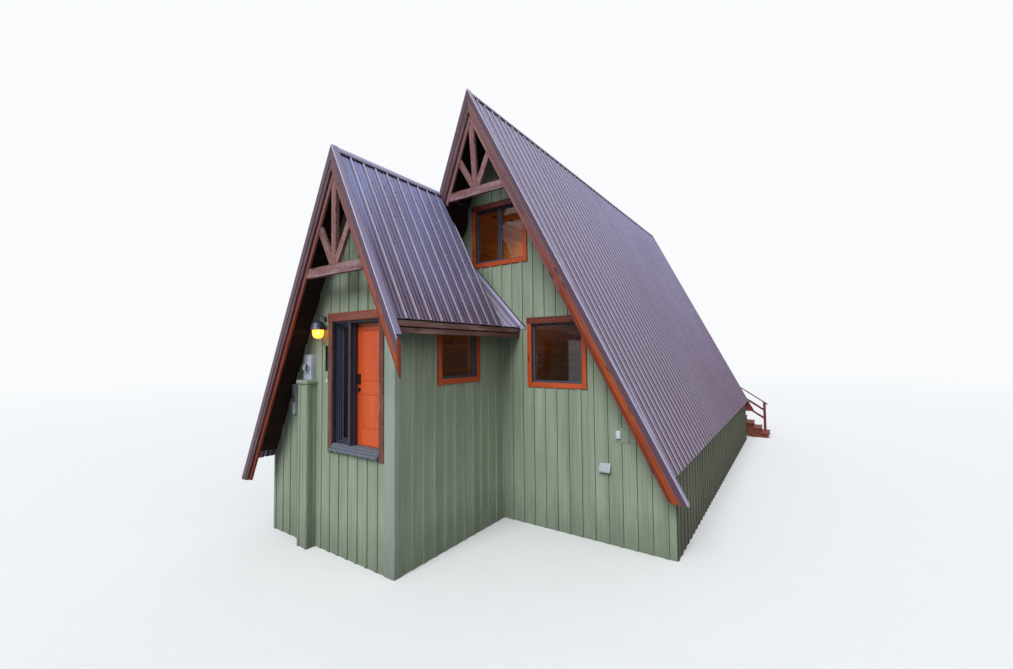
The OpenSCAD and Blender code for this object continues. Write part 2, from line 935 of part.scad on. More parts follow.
module entry_frame() {
    stop_y = -wing_len + 60;
    stop_d = door_y - leaf_gap - stop_y;
    door_x0 = lite_x1 + mullion_w;
    door_x1 = rough_x1 - jamb_t;
    inner_y = -wing_len + wall_t;
    color(dark_grey) {
        entry_ledges();
        difference() {
            translate([rough_x0, -wing_len, floor_h])
                cube([rough_x1 - rough_x0, wall_t, rough_top - floor_h]);
            translate([door_x0, -wing_len - 1, sill_top])
                cube([door_x1 - door_x0, wall_t + 2, clear_h]);
            translate([lite_x0, -wing_len - 1, sill_top])
                cube([lite_x1 - lite_x0, wall_t + 2, clear_h]);
        }
        translate([door_x1 - stop_w, stop_y, sill_top]) cube([stop_w, stop_d, clear_h]);
        translate([door_x0, stop_y, sill_top]) cube([stop_w, stop_d, clear_h]);
        translate([door_x0, stop_y, sill_top + clear_h - stop_w])
            cube([door_x1 - door_x0, stop_d, stop_w]);
        difference() {
            translate([lite_x0, door_y, sill_top]) cube([lite_x1 - lite_x0, leaf_t, clear_h]);
            translate([lite_x0 + lite_frame, door_y - 1, lite_z])
                cube([side_lite_w, leaf_t + 2, lite_h]);
        }
        for (z = hinge_heights) {
            translate([hinge_x, hinge_y, z - 50]) cylinder(r = 7, h = 100);
            translate([hinge_x + 2, inner_y, z - 50]) cube([34, 5, 100]);
        }
    }
}

// Posts, header and the two ledges that step down from the threshold
post_lap = 42;

module entry_ledges() {
    x0 = rough_x0 + post_lap;
    w = rough_x1 - post_lap - x0;
    nose = ledge_out / 2;
    translate([x0, -wing_len - nose, floor_h]) cube([w, nose, sill_t]);
    for (i = [1, 2])
        translate([x0, -wing_len - i * ledge_out, floor_h - i * ledge_h])
            cube([w, i * ledge_out, ledge_h]);
}

module entry_trim() {
    left_x = rough_x0 + post_lap - post_w;
    right_x = rough_x1 - post_lap;
    foot_z = floor_h - foot_drop;
    ear = 15;
    color(timber) {
        for (x = [left_x, right_x])
            translate([x, -wing_len - post_out, foot_z]) cube([post_w, post_out, rough_top - foot_z]);
        translate([left_x - ear, -wing_len - post_out - 6, rough_top])
            cube([right_x + post_w - left_x + 2 * ear, post_out + 6, header_d]);
    }
}

// Panelled leaf, with raised fields on both faces
stile_w = 105;
top_rail = 114;
lock_rail = 205;
bottom_rail = 265;
lower_panel = 570;
panel_in = 10;
field_in = 34;

module panel_cut(z, h) {
    for (y = [door_y - 1, door_y + leaf_t - panel_in])
        translate([leaf_left + stile_w, y, z]) cube([leaf_w - 2 * stile_w, panel_in + 1, h]);
}

module panel_field(z, h) {
    inset = stile_w + field_in;
    for (y = [door_y + 3, door_y + leaf_t - panel_in])
        translate([leaf_left + inset, y, z + field_in])
            cube([leaf_w - 2 * inset, panel_in - 3, h - 2 * field_in]);
}

module entry_door() {
    low_z = leaf_z + bottom_rail;
    up_z = low_z + lower_panel + lock_rail;
    up_h = leaf_z + leaf_h - top_rail - up_z;
    color([0.78, 0.30, 0.10]) {
        difference() {
            translate([leaf_left, door_y, leaf_z]) cube([leaf_w, leaf_t, leaf_h]);
            panel_cut(low_z, lower_panel);
            panel_cut(up_z, up_h);
        }
        panel_field(low_z, lower_panel);
        panel_field(up_z, up_h);
    }
}

module door_hardware() {
    handle_x = leaf_left + 60;
    knob_h = leaf_z + 920;
    bolt_h = leaf_z + 1090;
    color([0.06, 0.06, 0.07]) {
        for (a = [90, -90])
            translate([handle_x, door_y + leaf_t / 2, knob_h]) rotate([a, 0, 0])
                translate([0, 0, leaf_t / 2]) rotate_extrude() polygon([
                    [0, 0], [33, 0], [33, 8], [12, 12], [12, 26], [24, 32], [29, 42], [26, 54], [0, 58]
                ]);
        translate([handle_x - 34, door_y - 24, bolt_h - 82]) cube([68, 24, 165]);
        translate([handle_x - 30, door_y + leaf_t, bolt_h - 60]) cube([60, 22, 120]);
    }
}

// Fittings on the wing's front wall, placed from the doorway
lantern_x = rough_x0 - 227.5;
lantern_y = -wing_len - 150;
lantern_h = rough_top - 36;

module wall_lantern() {
    bend = 66;
    color([0.12, 0.11, 0.10]) {
        translate([lantern_x, -wing_len, lantern_h + 112]) rotate([90, 0, 0]) cylinder(r = 55, h = 18);
        translate([lantern_x, lantern_y + bend, lantern_h + 100]) rotate([90, 0, 90])
            rotate_extrude(angle = 180) translate([bend, 0]) circle(r = 9, $fn = 16);
        translate([lantern_x, lantern_y, lantern_h + 40]) cylinder(r = 9, h = 60);
        translate([lantern_x, lantern_y, lantern_h]) rotate_extrude() polygon([
            [0, 50], [24, 46], [60, 28], [118, -30], [140, -66], [134, -68],
            [110, -40], [56, 16], [0, 34]
        ]);
    }
}

module lantern_glass() {
    color([0.95, 0.6, 0.1]) translate([lantern_x, lantern_y, lantern_h]) rotate_extrude() polygon([
        [0, 33.5], [48, 17.5], [84, -22], [93, -66], [84, -112], [62, -142], [0, -152]
    ]);
}

encl_x = -2290;
encl_w = 285;
encl_d = 180;
encl_h = 2840;
encl_cap = 60;

module meter_enclosure() {
    color(main_green) {
        translate([encl_x, -wing_len - encl_d, 0]) cube([encl_w, encl_d, encl_h]);
        translate([encl_x - 28, -wing_len - encl_d - 30, encl_h])
            cube([encl_w + 56, encl_d + 30, encl_cap]);
    }
}

module meter_box() {
    w = 245;
    d = 105;
    x = encl_x + (encl_w - w) / 2;
    z = encl_h + encl_cap;
    color(light_grey) {
        translate([x, -wing_len - d, z]) cube([w, d, 450]);
        translate([x + w / 2, -wing_len - d, z + 232]) rotate([90, 0, 0]) cylinder(r = 86, h = 30);
        translate([x + w / 2, -wing_len - d - 30, z + 232]) rotate([90, 0, 0]) cylinder(r = 74, h = 55);
    }
}

// Bare number plaque and bell push, two small boxes, outlet on its block, vent hood
module wall_fixtures() {
    plaque_x = rough_x0 - 187.5;
    box_x = encl_x - 408;
    color(light_grey) {
        translate([plaque_x, -wing_len - 16, floor_h + 1250]) cube([82, 16, 436]);
        translate([plaque_x + 24, -wing_len - 22, floor_h + 1040]) cube([34, 22, 74]);
        translate([box_x, -wing_len - 72, 2600]) cube([96, 72, 200]);
        translate([box_x, -wing_len - 72, 2266]) cube([96, 72, 204]);
        translate([2374, -24, 1790]) cube([296, 24, 246]);
        translate([2440, -70, 1845]) cube([90, 46, 140]);
        translate([2130, 0, 1240]) rotate([90, 0, 90]) linear_extrude(height = 200) polygon([
            [0, 0], [-92, 0], [-92, 30], [-26, 165], [0, 165]
        ]);
    }
}

// Rear deck, stair and railings
deck_y = body_len;
deck_end_y = body_len + deck_dy;
deck_slab = 40;
joist_d = 190;
joist_w = 50;
tread_t = 40;
rise = deck_h / risers;
stair_y = deck_end_y - stair_w;
stair_end = deck_x1 + (risers - 1) * going;
rail_cap = 15;
wood_stain = [0.42, 0.20, 0.13];

module rear_deck() {
    w = deck_x1 - deck_x0;
    under = deck_h - deck_slab;
    color(wood_stain) {
        translate([deck_x0, deck_y, under]) cube([w, deck_dy, deck_slab]);
        for (y = [deck_y, deck_end_y - joist_w])
            translate([deck_x0, y, under - joist_d]) cube([w, joist_w, joist_d]);
        for (i = [0:3])
            translate([deck_x0 + i * (w - joist_w) / 3, deck_y, under - joist_d])
                cube([joist_w, deck_dy, joist_d]);
        for (x = [deck_x0 + 60, deck_x1 - deck_post - 60])
            translate([x, deck_end_y - deck_post - 60, 0]) cube([deck_post, deck_post, under]);
    }
}

// Saw-tooth stringer under the treads
module stringer(y) {
    top = deck_h - rise - tread_t;
    depth = 320;
    along_y(y, y + joist_w) polygon(concat(
        [[deck_x1, top - depth], [deck_x1, top]],
        [for (i = [1:risers - 2]) each [
            [deck_x1 + i * going, deck_h - i * rise - tread_t],
            [deck_x1 + i * going, deck_h - (i + 1) * rise - tread_t]
        ]],
        [[stair_end, rise - tread_t], [stair_end, 0], [deck_x1 + (top - depth) * going / rise, 0]]
    ));
}

module rear_stair() {
    color(wood_stain) {
        stringer(stair_y + 30);
        stringer(deck_end_y - joist_w - 30);
        for (i = [1:risers - 1])
            translate([deck_x1 + (i - 1) * going, stair_y, deck_h - i * rise - tread_t])
                cube([going + 15, stair_w, tread_t]);
    }
}

module post(x, y, z) {
    translate([x, y, z]) cube([rail_post, rail_post, rail_h]);
}

// Rails that follow the stair, h above the line of the treads
module stair_bar(x1, y, w, h, t) {
    fall = rise / going;
    along_y(y, y + w) polygon([
        [deck_x1, deck_h + h], [x1, deck_h + h - (x1 - deck_x1) * fall],
        [x1, deck_h + h + t - (x1 - deck_x1) * fall], [deck_x1, deck_h + h + t]
    ]);
}

module stair_rail(y) {
    fall = rise / going;
    lap = 5;
    mid = floor(risers / 2);
    last = risers - 1;
    x_mid = deck_x1 + (mid - 1) * going + 60;
    x_last = deck_x1 + (last - 1) * going + 60;
    for (p = [[x_mid, mid], [x_last, last]]) {
        foot = deck_h - p[1] * rise;
        top = deck_h + rail_h + lap - (p[0] - deck_x1) * fall;
        along_y(y, y + rail_post) polygon([
            [p[0], foot], [p[0] + rail_post, foot],
            [p[0] + rail_post, top - rail_post * fall], [p[0], top]
        ]);
    }
    for (h = [0.3, 0.64]) stair_bar(x_last + rail_post, y + 25, 40, h * rail_h, 90);
    stair_bar(x_last + rail_post + 60, y - rail_cap, rail_post + 2 * rail_cap, rail_h, 40);
}

module rear_railing() {
    y = deck_end_y - rail_post;
    x_end = deck_x1 - rail_post;
    color(wood_stain) {
        for (x = [deck_x0, (deck_x0 + x_end) / 2, x_end]) post(x, y, deck_h);
        for (k = [0.3, 0.64]) translate([deck_x0, y + 25, deck_h + k * rail_h])
            cube([deck_x1 - deck_x0, 40, 90]);
        translate([deck_x0, y - rail_cap, deck_h + rail_h])
            cube([deck_x1 - deck_x0, rail_post + 2 * rail_cap, 40]);
    }
}

module stair_railing() {
    color(wood_stain) stair_rail(deck_end_y - rail_post);
}

module side_railing() {
    y_end = deck_end_y - rail_post;
    x_end = deck_x1 - rail_post;
    gate_y = stair_y - rail_post;
    // Clear of the rear window casings
    y0 = deck_y + casing_out + 10;
    color(wood_stain) {
        post(deck_x0, y0, deck_h);
        post(x_end, y0, deck_h);
        post(x_end, gate_y, deck_h);
        for (k = [0.3, 0.64]) {
            translate([deck_x0 + 25, y0, deck_h + k * rail_h]) cube([40, y_end - y0, 90]);
            translate([x_end + 25, y0, deck_h + k * rail_h]) cube([40, gate_y - y0, 90]);
        }
        translate([deck_x0 - rail_cap, y0, deck_h + rail_h])
            cube([rail_post + 2 * rail_cap, y_end - rail_cap - y0, 40]);
        translate([x_end - rail_cap, y0, deck_h + rail_h])
            cube([rail_post + 2 * rail_cap, stair_y - y0, 40]);
    }
}

// The origin is at the middle of the cabin's extent, on the ground
x_low = -xs(foot_h, trim_up);
x_high = max(-x_low, stair_end + 15);
y_low = wing_front - trim_t;
y_high = max(deck_end_y + rail_cap, rear_y + trim_t);

translate([-(x_low + x_high) / 2, -(y_low + y_high) / 2, 0]) {
    wing_wall_left();
    wing_wall_right();
    wing_wall_over_door();
    wing_wall_under_door();
    wing_side_wall();
    main_wall_right();
    main_wall_upper();
    main_rear_wall();
    right_skirt_wall();
    left_skirt_wall();
    main_floor();
    wing_floor();
    loft_floor();
    right_roof_deck();
    left_roof_deck();
    wing_roof_deck();
    cricket_deck();
    right_roofing();
    left_roofing();
    wing_roofing();
    ridge_caps();
    rake_trims();
    front_barge_right();
    front_barge_left();
    rear_barge_right();
    rear_barge_left();
    wing_barge_left();
    wing_barge_right();
    main_gable_truss();
    wing_gable_truss();
    eave_fascia();
    window_casings();
    window_sashes();
    window_glass();
    entry_frame();
    entry_trim();
    entry_door();
    door_hardware();
    wall_lantern();
    lantern_glass();
    meter_box();
    meter_enclosure();
    wall_fixtures();
    rear_deck();
    rear_stair();
    rear_railing();
    side_railing();
    stair_railing();
}
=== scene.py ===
import json
import math
import random
import bmesh
import bpy
from mathutils import Matrix, Vector

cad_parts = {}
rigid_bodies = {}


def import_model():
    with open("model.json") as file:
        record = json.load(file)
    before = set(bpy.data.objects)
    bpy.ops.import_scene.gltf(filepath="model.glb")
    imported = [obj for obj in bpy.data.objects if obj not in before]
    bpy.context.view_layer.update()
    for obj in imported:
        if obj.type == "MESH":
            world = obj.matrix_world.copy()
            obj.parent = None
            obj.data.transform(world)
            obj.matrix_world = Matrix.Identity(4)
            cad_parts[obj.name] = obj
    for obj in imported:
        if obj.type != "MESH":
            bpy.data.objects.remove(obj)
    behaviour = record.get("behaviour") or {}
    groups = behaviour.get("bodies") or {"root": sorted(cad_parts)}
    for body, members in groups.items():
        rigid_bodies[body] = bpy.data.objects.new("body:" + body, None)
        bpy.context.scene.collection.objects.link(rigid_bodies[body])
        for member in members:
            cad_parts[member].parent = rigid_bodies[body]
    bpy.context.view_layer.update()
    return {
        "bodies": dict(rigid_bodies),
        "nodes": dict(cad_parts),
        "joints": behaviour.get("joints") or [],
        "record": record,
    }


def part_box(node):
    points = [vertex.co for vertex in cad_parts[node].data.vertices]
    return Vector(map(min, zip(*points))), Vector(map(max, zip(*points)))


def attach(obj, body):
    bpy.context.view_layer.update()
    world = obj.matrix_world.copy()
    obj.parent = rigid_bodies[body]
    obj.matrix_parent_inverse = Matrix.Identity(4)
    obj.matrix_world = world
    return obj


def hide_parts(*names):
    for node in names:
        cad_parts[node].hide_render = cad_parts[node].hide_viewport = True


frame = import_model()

# Everything below is written in the building's own axes, in metres: x = 0 under the main ridge,
# y = 0 on the main gable wall, z = 0 at the lowest ground. shift brings it to the frame's axes.
house = {
    "ridge": 8.380, "pitch": 63.7, "half": 3.400, "length": 11.170, "eaveOver": 0.055,
    "prowTop": 1.085, "prowFoot": 0.386, "foot": 1.020, "rearOver": 0.440,
    "wingRidge": 6.608, "wingLength": 2.875, "wingOver": 0.495, "wingSide": 0.040, "wingEave": 0.485,
    "cricketPitch": 47.0, "wall": 0.180, "pan": 0.0062, "boards": 0.044, "roof": 0.180, "floor": 1.815,
}
(ridge, pitch, half, length, eaveOver, prowTop, prowFoot, foot, rearOver, wingRidge, wingLength, wingOver, wingSide,
 eave, cricketPitch, wall, pan, boards, roof, floorTop) = house.values()
shift = Vector((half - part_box("right_skirt_wall")[1].x, -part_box("main_wall_upper")[0].y, 0.0))
xAxis, yAxis, zAxis = Vector((1, 0, 0)), Vector((0, 1, 0)), Vector((0, 0, 1))


def slants(degrees):
    turn = math.radians(degrees)
    return math.tan(turn), math.cos(turn), math.sin(turn)


tanP, cosP, sinP = slants(pitch)
tanC, cosC, sinC = slants(cricketPitch)
wingX = -(ridge - wingRidge) / tanP
wingEaveHeight = wingRidge - (eave - wingX) * tanP
wingFront = -wingLength - wingOver
rearRake = length + rearOver
wallTop = pan + boards + 0.0002
leftTilt = math.atan((prowTop - prowFoot) / (ridge + 0.026 / cosP - foot))
prowIn = Vector((0, math.cos(leftTilt), math.sin(leftTilt)))


def slopeHeight(x, depth=0.0):
    return ridge - abs(x) * tanP - depth / cosP


def wingHeight(x, depth=0.0):
    return wingRidge - (x - wingX) * tanP - depth / cosP


def cricketHeight(x, depth=0.0):
    return wingEaveHeight + (eave - x) * tanC - depth / cosC


# a slope: a point on its top line, square out of it, and down it
ridgeTop, wingTop = Vector((0, 0, ridge)), Vector((wingX, 0, wingRidge))
rightUp, leftUp = Vector((sinP, 0, cosP)), Vector((-sinP, 0, cosP))
rightSlope = (ridgeTop, rightUp, Vector((cosP, 0, -sinP)))
leftSlope = (ridgeTop, leftUp, Vector((-cosP, 0, -sinP)))
wingSlope = (wingTop, rightUp, rightSlope[2])
cricketSlope = (Vector((-1.25, 0, cricketHeight(-1.25))), Vector((sinC, 0, cosC)), Vector((cosC, 0, -sinC)))


def plane(point, normal):
    return Vector(point), Vector(normal)


def under(slope, depth):
    return plane(slope[0] - slope[1] * depth, slope[1])


def prowPlane(inwards):
    return plane(Vector((0, -prowFoot, foot)) + prowIn * inwards, prowIn)


def crossCut(y):
    return plane((0, y, 0), yAxis)


def meet(a, b, c):
    return Matrix((a[1], b[1], c[1])).inverted() @ Vector([p[0].dot(p[1]) for p in (a, b, c)])


def addPiece(name, mesh, nodes, body="cabin"):
    piece = bpy.data.objects.new(name, mesh)
    bpy.context.scene.collection.objects.link(piece)
    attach(piece, body)
    if nodes:
        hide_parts(*nodes)


def addGrain(mesh, vectors):
    grain = mesh.attributes.new("grain", "FLOAT_VECTOR", "POINT")
    grain.data.foreach_set("vector", [c for v in vectors for c in v])


class Parts:
    # boards, bars and turned parts in one mesh; each solid keeps its own grain direction and tone, for the finishes
    def __init__(self, seed):
        self.points, self.faces, self.grain, self.tone = [], [], [], []
        self.random = random.Random(seed)

    def add(self, rings, grains, tone=None):
        base, n = len(self.points), len(rings[0])
        tone = self.random.random() if tone is None else tone
        jump = Vector((self.random.uniform(0, 40), self.random.uniform(0, 9), self.random.uniform(0, 9)))
        for ring, grain in zip(rings, grains):
            self.points += ring
            self.grain += [g + jump for g in grain]
            self.tone += [tone] * n
        for start in range(base, base + (len(rings) - 1) * n, n):
            for i in range(n):
                j = (i + 1) % n
                self.faces.append((start + i, start + j, start + n + j, start + n + i))
        last = base + (len(rings) - 1) * n
        self.faces.append(tuple(base + i for i in reversed(range(n))))
        self.faces.append(tuple(last + i for i in range(n)))

    def build(self, name, finish, slot, *nodes, body="cabin", smooth=None):
        mesh = bpy.data.meshes.new(name)
        mesh.from_pydata([p - shift for p in self.points], [], self.faces)
        addGrain(mesh, self.grain)
        mesh.attributes.new("tone", "FLOAT", "POINT").data.foreach_set("value", self.tone)
        mesh.materials.append(finishes[finish])
        work = bmesh.new()
        work.from_mesh(mesh)
        bmesh.ops.recalc_face_normals(work, faces=work.faces)
        work.to_mesh(mesh)
        work.free()
        if smooth:
            mesh.shade_smooth()
            mesh.set_sharp_from_angle(angle=math.radians(smooth))
        addPiece(name, mesh, nodes, body)


def turnsLeft(outline):
    return sum(a[0] * b[1] - b[0] * a[1] for a, b in zip(outline, outline[1:] + outline[:1])) > 0


def counterClockwise(outline):
    points = [Vector((p[0], p[1])) for p in outline]
    return points if turnsLeft(points) else points[::-1]


def softCorners(points, size, steps=1):
    out = []
    for i, p in enumerate(points):
        a, b = points[i - 1], points[(i + 1) % len(points)]
        a = p + (a - p) * min(size / (a - p).length, 0.4)
        b = p + (b - p) * min(size / (b - p).length, 0.4)
        for k in range(steps + 1):
            t = k / steps
            out.append(a * (1 - t) ** 2 + p * 2 * t * (1 - t) + b * t * t)
    return out


def shrunk(points, size):
    out = []
    for i, p in enumerate(points):
        a = (p - points[i - 1]).normalized()
        b = (points[(i + 1) % len(points)] - p).normalized()
        na, nb = Vector((-a.y, a.x)), Vector((-b.y, b.x))
        out.append(p + (na + nb) * (size / max(0.35, 1 + na.dot(nb))))
    return out


def clip(outline, px, py, nx, ny):
    # keeps the side of the line through (px, py) that (nx, ny) points away from
    out = []
    for p, q in zip(outline, outline[1:] + outline[:1]):
        dp = (p[0] - px) * nx + (p[1] - py) * ny
        dq = (q[0] - px) * nx + (q[1] - py) * ny
        if dp <= 0:
            out.append(p)
        if dp * dq < 0:
            t = dp / (dp - dq)
            out.append((p[0] + (q[0] - p[0]) * t, p[1] + (q[1] - p[1]) * t))
    apart = []
    for p in out:
        if not apart or math.dist(p, apart[-1]) > 1e-4:
            apart.append(p)
    if len(apart) > 1 and math.dist(apart[0], apart[-1]) < 1e-4:
        apart.pop()
    return apart if len(apart) > 2 else []


def clipTo(outline, region):
    ring = counterClockwise(region)
    shape = [tuple(p) for p in outline]
    for a, b in zip(ring, ring[1:] + ring[:1]):
        if shape:
            shape = clip(shape, a.x, a.y, b.y - a.y, a.x - b.x)
    return shape


def slab(parts, outline, place, low, high, edge=0.002, steps=1, grain=(0, 1), tone=None):
    # place = (origin, right, up, out): outlines lie in right and up, thickness goes along out
    origin, right, up, out = place
    full = softCorners(counterClockwise(outline), edge, steps)
    turns = [k / steps * math.pi / 2 for k in range(steps + 1)]
    levels = [(edge * (1 - math.sin(t)), edge * (1 - math.cos(t))) for t in turns]
    rings, grains = [], []
    for inset, h in [(i, low + r) for i, r in levels] + [(i, high - r) for i, r in reversed(levels)]:
        ring = shrunk(full, inset * 0.8) if inset > 1e-7 else full
        rings.append([origin + right * p.x + up * p.y + out * h for p in ring])
        grains.append([Vector((p.x * grain[0] + p.y * grain[1], p.x * grain[1] - p.y * grain[0], h)) for p in ring])
    parts.add(rings, grains, tone)


def rect(x0, x1, z0, z1):
    return [(x0, z0), (x1, z0), (x1, z1), (x0, z1)]


def bar(parts, section, place, along, cutA, cutB, edge=0.002, tones=None):
    # section lies in the place's first two directions; the bar runs along from one cutting plane to the other
    origin, u, v = place
    full = counterClockwise(section)
    stops = ((full, cutA, 0.0), (full, cutB, 0.0))
    if edge:
        full = softCorners(full, edge)
        small = shrunk(full, edge * 0.8)
        stops = ((small, cutA, 0.0), (full, cutA, edge), (full, cutB, -edge), (small, cutB, 0.0))
    rings, grains = [], []
    for ring, cut, extra in stops:
        starts = [origin + u * p.x + v * p.y for p in ring]
        runs = [(cut[0] - q).dot(cut[1]) / along.dot(cut[1]) + extra for q in starts]
        rings.append([q + along * t for q, t in zip(starts, runs)])
        grains.append([Vector((t, p.x, p.y)) for p, t in zip(ring, runs)])
    parts.add(rings, grains)
    if tones:     # one for each point of a section given counter-clockwise
        parts.tone[-len(section) * len(rings):] = list(tones) * len(rings)


def foldedBar(parts, shape, *where):
    # sheet metal: shape holds (right, up, tone)
    shape = shape if turnsLeft(shape) else shape[::-1]
    bar(parts, [p[:2] for p in shape], *where, 0.0, tones=[p[2] for p in shape])


def mitredFrame(parts, x0, x1, z0, z1, section, place, edge=0.002):
    # section: (distance inwards, distance along out)
    origin, right, up, out = place
    corners = rect(x0, x1, z0, z1)
    for p, q in zip(corners, corners[1:] + corners[:1]):
        size = math.dist(p, q)
        ax, az = (q[0] - p[0]) / size, (q[1] - p[1]) / size
        along, inward = right * ax + up * az, right * -az + up * ax
        start, end = (origin + right * c[0] + up * c[1] for c in (p, q))
        bar(parts, section, (start, inward, out), along, plane(start, along - inward), plane(end, along + inward), edge)


def circle(count, radius=1.0):
    turns = [2 * math.pi * k / count for k in range(count)]
    return [(radius * math.cos(t), radius * math.sin(t)) for t in turns]


def turned(parts, profile, origin, axis, sides=32, flutes=0, fluteDepth=0.0, tone=None):
    # profile: (radius, distance along the axis)
    axis = axis.normalized()
    side = axis.orthogonal().normalized()
    other = axis.cross(side)
    rings, grains = [], []
    for radius, distance in profile:
        ring, marks = [], []
        for k in range(sides):
            turn = 2 * math.pi * k / sides
            r = max(radius, 0.0002) * (1 + fluteDepth * math.cos(flutes * turn))
            a, b = r * math.cos(turn), r * math.sin(turn)
            ring.append(origin + axis * distance + side * a + other * b)
            marks.append(Vector((distance, a, b)))
        rings.append(ring)
        grains.append(marks)
    parts.add(rings, grains, tone)


def tube(parts, path, radius, sides):
    side, rings, grains, run = None, [], [], 0.0
    for i, p in enumerate(path):
        ahead = (path[min(i + 1, len(path) - 1)] - path[max(i - 1, 0)]).normalized()
        side = ahead.orthogonal() if side is None else side - ahead * side.dot(ahead)
        side.normalize()
        other = ahead.cross(side)
        run += (p - path[i - 1]).length if i else 0.0
        rings.append([p + side * a + other * b for a, b in circle(sides, radius)])
        grains.append([Vector((run, a, b)) for a, b in circle(sides, radius)])
    parts.add(rings, grains)


screwShape = [(1.35, -0.001), (1.35, 0.0012), (0.95, 0.002), (0.85, 0.0055), (0.4, 0.0066)]


def screw(parts, spot, axis, size):
    turned(parts, [(size * r, h) for r, h in screwShape], spot, axis, sides=8, tone=0.5)


def screenColour(colour):
    # a colour as seen on a screen, 0 to 255
    return tuple((c / 255 / 12.92 if c <= 10 else ((c / 255 + 0.055) / 1.055) ** 2.4) for c in colour) + (1.0,)


def shaded(colour, share):
    return tuple(c * share for c in colour)


class Finish:
    sockets = {"metallic": "Metallic", "specular": "Specular IOR Level", "ior": "IOR", "transmission": "Transmission Weight",
               "glow": "Emission Strength", "glowColour": "Emission Color"}

    def __init__(self, name):
        self.material = bpy.data.materials.new(name)
        self.material.use_nodes = True
        self.tree = self.material.node_tree
        self.shader = self.tree.nodes["Principled BSDF"]

    def put(self, socket, value):
        if isinstance(value, bpy.types.NodeSocket):
            self.tree.links.new(value, socket)
        else:
            socket.default_value = value

    def node(self, kind, values=None, **settings):
        made = self.tree.nodes.new("ShaderNode" + kind)
        for key, value in settings.items():
            setattr(made, key, value)
        for key, value in (values or {}).items():
            self.put(made.inputs[key], value)
        return made

    def coords(self, kind):
        # "grain": a piece's own board directions. "x", "y", "z": the frame's axes, with the grain along that one
        if kind == "grain":
            return self.node("Attribute", attribute_name="grain").outputs["Vector"]
        place = self.node("TexCoord").outputs["Object"]
        if kind == "x":
            return place
        parts = self.node("SeparateXYZ", {"Vector": place})
        order = {"y": "YXZ", "z": "ZXY"}[kind]
        return self.node("CombineXYZ", {a: parts.outputs[b] for a, b in zip("XYZ", order)}).outputs["Vector"]

    def height(self):
        return self.node("SeparateXYZ", {"Vector": self.node("TexCoord").outputs["Object"]}).outputs["Z"]

    def tone(self):
        return self.node("Attribute", attribute_name="tone").outputs["Fac"]

    def stretched(self, vector, stretch):
        return self.node("VectorMath", {0: vector, 1: stretch}, operation="MULTIPLY").outputs["Vector"]

    def noise(self, vector, along, across, detail=4.0, rough=0.6, twist=0.0):
        return self.node("TexNoise", {"Vector": self.stretched(vector, (along, across, across)), "Scale": 1.0,
                                      "Detail": detail, "Roughness": rough, "Distortion": twist}).outputs["Fac"]

    def remap(self, value, a, b, c=0.0, d=1.0):
        return self.node("MapRange", {"Value": value, "From Min": a, "From Max": b, "To Min": c, "To Max": d}).outputs["Result"]

    def math(self, how, a, b=0.0):
        return self.node("Math", {0: a, 1: b}, operation=how).outputs["Value"]

    def add(self, a, b):
        return self.math("ADD", a, b)

    def times(self, a, b):
        return self.math("MULTIPLY", a, b)

    def mix(self, share, *colours):
        made = self.node("Mix", data_type="RGBA")
        self.put(made.inputs[0], share)
        for socket, colour in zip((6, 7), colours):
            self.put(made.inputs[socket], screenColour(colour) if isinstance(colour, tuple) and len(colour) == 3 else colour)
        return made.outputs[2]

    def toned(self, colour, low, high):
        return self.node("HueSaturation", {"Color": colour, "Value": self.remap(self.tone(), 0.0, 1.0, low, high)}).outputs["Color"]

    def spots(self, vector, along, across, size, share):
        # 1 inside scattered spots, 0 elsewhere; share of the cells have one
        cells = self.node("TexVoronoi", {"Vector": self.stretched(vector, (along, across, across)), "Scale": 1.0})
        near = self.remap(cells.outputs["Distance"], size * 0.45, size, 1.0, 0.0)
        red = self.node("SeparateColor", {"Color": cells.outputs["Color"]}).outputs["Red"]
        return self.times(near, self.math("GREATER_THAN", red, 1.0 - share))

    def surface(self, colour, rough, bump, strength, depth, **constants):
        self.put(self.shader.inputs["Base Color"], colour)
        self.put(self.shader.inputs["Roughness"], rough)
        made = self.node("Bump", {"Height": bump, "Strength": strength, "Distance": depth})
        self.put(self.shader.inputs["Normal"], made.outputs["Normal"])
        for key, value in constants.items():
            self.shader.inputs[self.sockets[key]].default_value = value
        return self.material


